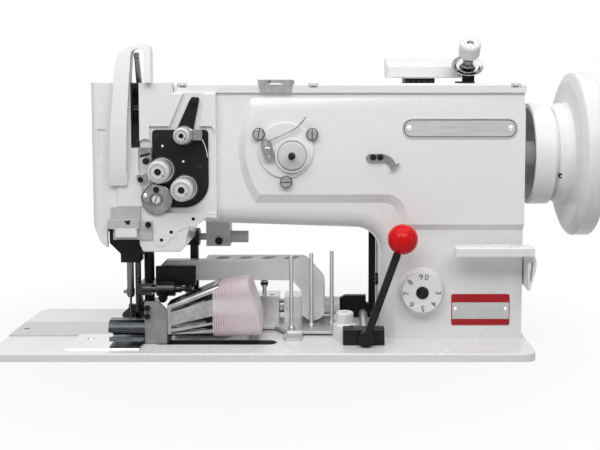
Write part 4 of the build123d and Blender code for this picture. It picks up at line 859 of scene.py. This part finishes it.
def spring_controller():
    """Steel disc of the check spring with its ringed slotted screw, its hole as a flat black disc of painted
    shade, and its stop pin.
    """
    x, z = -102.8, 140.5
    profile = ((0, 0), (0, 7), (3.2, 7), (3.2, 14.9), (6, 14.9), (7, 13.9), (7, 0))
    plate = lathe("controller_plate", profile, at(x, GUIDE_FACE + 7, z), FORWARD, 80, (0.3, 2, 22))
    mount(plate, "frame", "machined_steel", "grey_steel", ["controller_disc"])
    screw_place = at(x - 0.6, GUIDE_FACE, z)
    collar = ring("controller_ring", screw_place, FORWARD, 5.2, 6.6, 1.4, 48, (0.25,))
    mount(collar, "frame", "black_steel", "dark_steel")
    screw = slotted_screw("controller_screw", screw_place, FORWARD, 4.2, 1.5, 70, 0.22)
    mount(screw, "frame", "polished_steel", "satin_steel")
    # The hole is a flat black disc, painted shade.
    hole = disc("controller_hole", at(x - 0.5, GUIDE_FACE, z + 9.4), FORWARD, 3.0, 0.12)
    mount(hole, "frame", "black_steel", "black_print_and_shade")
    profile = ((0, 0), (0, 2.2), (0.9, 2.0), (1.3, 1.0), (1.3, 0))
    pin = lathe("controller_pin", profile, at(x - 10.9, GUIDE_FACE, z + 4), FORWARD, 28, (0.2,))
    mount(pin, "frame", "polished_steel")
    spring = [
        at(-110.5, 38.2, 153.5), at(-115.5, 37.6, 148.5), at(-118.2, 37.2, 142),
        at(-115.2, 37, 137), at(-109.5, 36.8, 135.6),
    ]
    mount(wire("controller_spring", spring, 0.5), "frame", "polished_steel", "dark_steel")


# ---- Winder and small fittings ----

def bobbin_winder():
    """Winder plate with its latch, its conical wheel and the spindle for the bobbin."""
    rounded_copy("winder_base", 0.4, "white_plastic")
    rounded_copy("winder_latch", 0.5, "grey_steel")
    x, y, z = 4.0, 38.5, 188.0
    places = ((-2, 6.4), (1.6, -6.2))
    bolts = [socket_screw(f"latch_bolt_{dz}", at(x + dx, y, z + dz), FORWARD, 1.7, 0.5) for dx, dz in places]
    dome = ((0, 0), (0, 3.4), (1.6, 3.0), (2.2, 1.6), (2.2, 0))
    bolts.append(lathe("latch_nut", dome, at(x, y, z), FORWARD, 32))
    mount(join("latch_bolts", bolts), "winder_latch", "polished_steel", "chrome")
    centre = pivot["winder_wheel_turn"]
    middle = Vector((centre.x, at(0, 43.5, 0).y, centre.z))
    profile = ((-2.2, 0), (-2.2, 3), (2.8, 3), (2.8, 13.7), (5.5, 13.7), (6.5, 12.7), (7.9, 4), (7.9, 0))
    wheel = lathe("winder_cone", profile, middle, FORWARD, 72, (0.4, 2, 20))
    mount(wheel, "winder_wheel", "white_plastic", "knob_plastic", ["winder_wheel"])
    profile = ((7.8, 0), (7.8, 3.6), (9.4, 3.2), (9.4, 3.0), (20, 3.0), (21, 2.4), (21, 0))
    spindle = lathe("winder_spindle", profile, middle, FORWARD, 40, (0.2, 2, 25))
    mount(spindle, "winder_wheel", "polished_steel", "black_plate")


def small_fittings():
    """Top bracket, the small dark screws and clip of the arm and head, and their tapped holes as flat black discs
    of painted shade.
    """
    rounded_copy("top_bracket", 0.25, "chrome")
    places = [at(x, 41.6, 180.9) for x in (105.7, 112.5)]
    mount(plug_group("hook_screws", places, FORWARD, 3.1, 1.6), "frame", "black_steel")
    places = [at(-118.1, GUIDE_FACE, 159.7)]
    mount(plug_group("head_screws", places, FORWARD, 2.8, 1.2), "frame", "black_steel")
    points = ((-118.6, 181), (-109.5, 183.4), (-109, 185.6), (-118.2, 183.6))
    clip = front_plate("guide_clip", points, GUIDE_FACE, 1.2)
    soften(clip, 0.2)
    profile = ((0, 0), (0, 3.2), (2.4, 3.2), (3.2, 2.2), (3.2, 0))
    knob = lathe("guide_clip_screw", profile, at(-112.6, GUIDE_FACE + 0.2, 177.6), FORWARD, 32)
    mount(join("guide_clip_set", [clip, knob]), "frame", "black_steel")
    # Each tapped hole is a flat black disc, painted shade.
    for n, (x, z) in enumerate(((-99.6, 100.4), (-90.0, 108.2), (-68.4, 121.0))):
        hole = disc(f"tapped_hole_{n}", at(x, HEAD_FACE + 0.6, z), FORWARD, 1.75, 0.2, 28)
        mount(hole, "frame", "black_steel", "black_print_and_shade")
    mount(socket_screw("arm_pivot", at(-66.6, 40.5, 235.8), FORWARD, 3.4, 1.2), "frame", "black_steel")
    mount(socket_screw("under_arm_screw", at(-51.5, 105.4, 89), FORWARD, 4.0, 1.6), "frame", "black_steel")


def finger_guards():
    """Finger guard in front of the needle bar, with its small cover plates, its mark and its screw."""
    rounded_copy("finger_guard", 0.3, "smoked_plate")
    window = front_plate("guard_window", rectangle(-142.2, -121.7, 104.6, 112.6), 34, 0.5, 0.5)
    mount(window, "frame", "white_enamel", "white_plastic")
    upper = front_plate("guard_upper", rectangle(-141, -117, 133.2, 153.5), HEAD_FACE, 2, 1)
    soften(upper, 0.4)
    mount(upper, "frame", "white_enamel")
    points = ((-134.5, 119.8), (-128.5, 120.6), (-128.8, 116.6), (-131.5, 116.4))
    mark = front_plate("guard_mark", points, 36, 0.4)
    screw = socket_screw("guard_screw", at(-111, 36.2, 116.3), FORWARD, 3.0, 1.4)
    mount(join("guard_screws", [mark, screw]), "frame", "black_steel")


def top_unit():
    """White wedge box on the lid with its serrated foot, and the pretension beside it."""
    unit = rounded_copy("top_unit", 1.0)
    # The box's faces in its lowest 4 mm, at its serrated foot, are coloured black.
    paint_inside(unit, at(100, 60, 252), at(170, 140, 256.4), "black_steel")
    rounded_copy("pretension_bracket", 0.3, "chrome")
    right = 205.3
    stand = front_plate("pretension_stand", rectangle(194.2, right, LID_TOP, 263), 61.7, -9.6)
    soften(stand, 0.6)
    foot = [at(x, y, LID_TOP) for x, y in rectangle(187.8, right, 57.8, 74)]
    base = cut_out("pretension_base", foot, UP * mm(1.7))
    soften(base, 0.4)
    mount(join("pretension_stand", [stand, base]), "frame", "black_steel", "black_plate")
    tilt = math.radians(40)
    axis = Vector((0, -math.sin(tilt), math.cos(tilt)))
    start = at(198.5, 66, 265) + axis * mm(18.5)
    bore, top = 2.7, 15.5
    profile = (
        (0, bore), (0, 8.8), (2, 10.3), (13.4, 10.3), (top, 9.0), (top, 3.6), (12.5, 3.6), (12.5, bore),
        (0, bore),
    )
    knob = lathe("top_knob", profile, start, axis, 72, (0.4, 2, 22))
    mount(knob, "pretension_knob", "white_plastic", instead_of=["pretension_knob"])
    marks = tick_ring("top_knob_marks", start, axis, (top, 8.3), (top, 6.0), 0.45, 10)
    # A black cone in the knob's top recess is painted shade.
    cup = ((12.6, 0), (12.6, 3.5), (13, 3.5), (13.4, 1.5), (13.4, 0))
    socket = lathe("top_knob_socket", cup, start, axis, 32)
    mount(join("top_knob_print_and_shade", [marks, socket]), "pretension_knob", "black_steel", "black_print_and_shade")


# ---- Needle, feet and binder ----

def sewing_parts():
    """Black sewing parts, the feet with painted highlight along their bevelled edges."""
    rounded_copy("rocking_frame", 0.6)
    rounded_copy("needle_bar", 0.25, "dark_steel")
    lever = rounded_copy("take_up_lever", 0.5, "grey_steel")
    paint_inside(lever, at(-200, 0, 222), at(0, 200, 260), "tinted_steel")
    # The feet's bevels carry painted highlight.
    rounded_copy("walking_foot", 0.35, "gunmetal", "painted_edge_highlight")
    rounded_copy("presser_bar", 0.4)
    rounded_copy("presser_foot", 0.4, "gunmetal", "painted_edge_highlight")
    rounded_copy("presser_clamp", 0.4, "gunmetal")
    rounded_copy("hanger", 0.6)
    rounded_copy("under_arm_bracket", 0.6)


def binder():
    """Gooseneck, its blocks and plate, and the folder with its holder."""
    rounded_copy("binder_arm", 0.6, segments=3)
    rounded_copy("binder_head_block", 0.5)
    rounded_copy("binder_blocks", 0.5, "satin_steel")
    rounded_copy("binder_plate", 0.4, "satin_steel")
    holder = rounded_copy("binder_holder", 0.6, "zinc_grey", segments=3)
    # The holder's faces lowest at the bed, up to 4 mm, are coloured black.
    paint_inside(holder, at(-120, 25, -1), at(-90, 70, 4), "black_steel")
    # The jaws' bevels carry painted highlight.
    rounded_copy("binder_jaws", 0.3, "gunmetal", "painted_edge_highlight")
    rounded_copy("tape_horn", 0.25, "chrome")
    places = [at(-109.7, 91.3, 57.6), at(-79.2, 91.3, 57)]
    plugs = plug_group("head_block_screws", places, FORWARD, 2.7, 1.2)
    mount(plugs, "binder_arm", "black_steel", "black_print_and_shade")
    places = [at(-112, 30, 36.2), at(-112, 30, 28.2)]
    mount(plug_group("holder_screws", places, FORWARD, 3.0, 1.6), "frame", "black_steel")
    profile = ((0, 0), (0, 2.6), (1.4, 3.9), (3.8, 4.3), (6.2, 3.6), (7.4, 1.8), (7.4, 0))
    ball = lathe("thumb_screw_ball", profile, at(-6, 125.5, 37), UP, 32, (0.3, 2, 20))
    mount(ball, "frame", "black_steel")
    thread = coil("adjusting_thread", at(10.2, 128, 15.5), RIGHT, 6.9, 0.75, 4, 5.2)
    mount(thread, "frame", "polished_steel", "satin_steel")
    profile = ((0, 2.6), (0, 4.6), (0.9, 4.4), (0.9, 2.6), (0, 2.6))
    foot = lathe("gooseneck_foot_ring", profile, at(46.3, 96.4, 14.5), FORWARD, 40, (0.2,))
    mount(foot, "binder_arm", "polished_steel", "satin_steel")
    edges = [at(-90, 36.9, 16.6), at(-90, 36.9, 22.2), at(-62, 35.9, 31.2), at(-62, 35.9, 25.4)]
    tape = cut_out("binding_tape", edges, FORWARD * mm(-0.5))
    mount(tape, "frame", "pink_foam")


def foam_sleeve():
    """Ribbed soft sleeve on the mouth of the horn, wider and leaning back towards its open end."""
    start, end, mouth = -50.0, -6.0, -3.4
    middle_y, middle_z, half_y, half_z, corner = 52.0, 31.0, 21, 25, 11
    folds = 42                              # a crest and a valley for each of its 21 ribs
    crest, valley, growth = 1.03, 0.972, 1.0026
    step, rise, lean = (end - start) / folds, 4 / folds, math.radians(20 / folds)
    corners = rectangle(middle_y - half_y, middle_y + half_y, middle_z - half_z, middle_z + half_z)
    sleeve = flat_face("ribbed_sleeve", [at(start, y, z) for y, z in corners])
    bpy.ops.mesh.bevel(offset=mm(corner), segments=6, affect="VERTICES")
    mode("OBJECT")
    ring_points = len(sleeve.data.vertices)
    mode("EDIT")
    for n in range(folds):
        pull((mm(step), 0, mm(rise)))
        swell = growth * (valley if n % 2 else crest)
        centre = at(start + step * (n + 1), middle_y, middle_z + rise * (n + 1))
        bpy.ops.transform.resize(value=(1, swell, swell), center_override=centre)
        bpy.ops.transform.rotate(value=lean, orient_axis="Y", center_override=centre)
    close_up()
    depth = sleeve.data.attributes.new("rib_depth", "FLOAT", "POINT")
    for place, value in enumerate(depth.data):
        value.value = 1.0 if (place // ring_points) % 2 == 0 else 0.0
    only(sleeve)
    smooth = sleeve.modifiers.new("soft", "SUBSURF")
    smooth.levels = smooth.render_levels = 1
    bpy.ops.object.modifier_apply(modifier=smooth.name)
    edit_all(sleeve)
    bpy.ops.mesh.bisect(plane_co=at(mouth, middle_y, 20), plane_no=RIGHT, clear_outer=True, use_fill=True)
    close_up()
    bpy.ops.object.shade_smooth_by_angle(angle=math.radians(50))
    mount(sleeve, "frame", "pink_foam", instead_of=["foam_sleeve"])


castings()
cover_screws()
name_plate()
data_plate()
handwheel()
stitch_dial()
lever_ball()
lift_controls()
bed_post()
thread_tension()
spring_controller()
bobbin_winder()
small_fittings()
finger_guards()
top_unit()
sewing_parts()
binder()
foam_sleeve()


# ---- Camera, table and light ----

SHADOW_REACH = 0.22     # metres from the middle within which the table keeps its shadow
WHITE_FROM = 0.4        # and from which it reads pure white


def place_camera():
    """Camera at the operator's side, level with the arm's top and looking a little down."""
    data = bpy.data.cameras.new("camera")
    data.sensor_width = 36
    data.lens = 56.86
    data.shift_x = -0.0533
    data.shift_y = -0.113
    data.clip_end = 50
    camera = bpy.data.objects.new("camera", data)
    camera.location = at(65.91, -868.88, 252.75)
    camera.rotation_euler = (math.radians(85.5), 0, 0)
    bpy.context.scene.collection.objects.link(camera)
    bpy.context.scene.camera = camera


def table_top():
    """Pale table with the well that the machine's skirt drops into."""
    reach, well_depth = 6.0, 64
    low, high = at(-246, 12, -8.05), at(246, 168, -8.05)
    let_go()
    bpy.ops.mesh.primitive_plane_add(size=2 * reach, location=(0, 0, 0))
    table = bpy.context.object
    table.name = table.data.name = "table_top"
    mode("EDIT")
    for corner, normal in ((low, RIGHT), (high, RIGHT), (low, BACK), (high, BACK)):
        take_all()
        bpy.ops.mesh.bisect(plane_co=(corner.x, corner.y, 0), plane_no=normal)
    bpy.ops.mesh.select_all(action="DESELECT")
    mode("OBJECT")
    for face in table.data.polygons:
        face.select = low.x < face.center.x < high.x and low.y < face.center.y < high.y
    mode("EDIT")
    bpy.ops.mesh.select_mode(type="FACE")
    pull((0, 0, -mm(well_depth)))
    bpy.ops.mesh.select_mode(type="VERT")
    take_all()
    bpy.ops.transform.translate(value=(0, 0, low.z))
    mode("OBJECT")
    return table


def seen_directly(tree):
    """1 for rays from the camera, in a reflection or through glass, and 0 for rays that light the machine."""
    rays = tree.nodes.new("ShaderNodeLightPath")
    seen = rays.outputs["Is Camera Ray"]
    for kind in ("Is Glossy Ray", "Is Transmission Ray"):
        seen = combine(tree, "MAXIMUM", seen, rays.outputs[kind])
    return seen


def pale_ground():
    """White table that keeps the shadow near the machine and reads pure white further out."""
    tree, shader, source = new_finish("pale_ground")
    shader.inputs["Base Color"].default_value = (0.5, 0.5, 0.5, 1)
    shader.inputs["Roughness"].default_value = 0.9
    shader.inputs["Specular IOR Level"].default_value = 0.0
    glow = tree.nodes.new("ShaderNodeEmission")
    reach = tree.nodes.new("ShaderNodeVectorMath")
    reach.operation = "LENGTH"
    tree.links.new(source, reach.inputs[0])
    share = spread(tree, reach.outputs["Value"], 0.88, 1.0, SHADOW_REACH, WHITE_FROM)
    white = combine(tree, "MULTIPLY", seen_directly(tree), share)
    mix = tree.nodes.new("ShaderNodeMixShader")
    tree.links.new(white, mix.inputs[0])
    tree.links.new(shader.outputs["BSDF"], mix.inputs[1])
    tree.links.new(glow.outputs["Emission"], mix.inputs[2])
    tree.links.new(mix.outputs["Shader"], tree.nodes["Material Output"].inputs["Surface"])


def soft_box(name, where, aim, width, height, power):
    """Large soft lamp."""
    data = bpy.data.lights.new(name, "AREA")
    data.shape = "RECTANGLE"
    data.size = width
    data.size_y = height
    data.energy = power
    lamp = bpy.data.objects.new(name, data)
    lamp.location = where
    direction = Vector(aim) - Vector(where)
    lamp.rotation_euler = direction.to_track_quat("-Z", "Y").to_euler()
    bpy.context.scene.collection.objects.link(lamp)
    return lamp


def white_world(light_level):
    """World that lights softly and is white where it is seen."""
    world = bpy.data.worlds.new("studio")
    bpy.context.scene.world = world
    world.use_nodes = True
    tree = world.node_tree
    tree.nodes.clear()
    output = tree.nodes.new("ShaderNodeOutputWorld")
    grounds = []
    for strength in (light_level, 1.0):
        ground = tree.nodes.new("ShaderNodeBackground")
        ground.inputs["Strength"].default_value = strength
        ground.inputs["Color"].default_value = (1, 1, 1, 1)
        grounds.append(ground)
    mix = tree.nodes.new("ShaderNodeMixShader")
    tree.links.new(seen_directly(tree), mix.inputs[0])
    for place, ground in enumerate(grounds):
        tree.links.new(ground.outputs["Background"], mix.inputs[place + 1])
    tree.links.new(mix.outputs["Shader"], output.inputs["Surface"])


place_camera()
pale_ground()
table = table_top()
table.data.materials.append(finishes["pale_ground"])
# The well's walls and floor are painted near black as shade under the machine.
paint_inside(table, at(-250, 0, -80), at(250, 180, -8.2), "painted_shade")
white_world(0.05)
soft_box("top_light", (0, -0.14, 1.7), (0, 0, 0), 2.36, 1.48, 17.0)
soft_box("front_light", (0, -0.75, 0.85), (0, 0, 0.25), 1.4, 0.4, 8.2)
back_light = soft_box("back_light", (0, 0.95, 1.2), (0, 0, 0.1), 1.2, 0.5, 2.2)
back_light.visible_glossy = False
bpy.context.scene.view_settings.view_transform = "Standard"
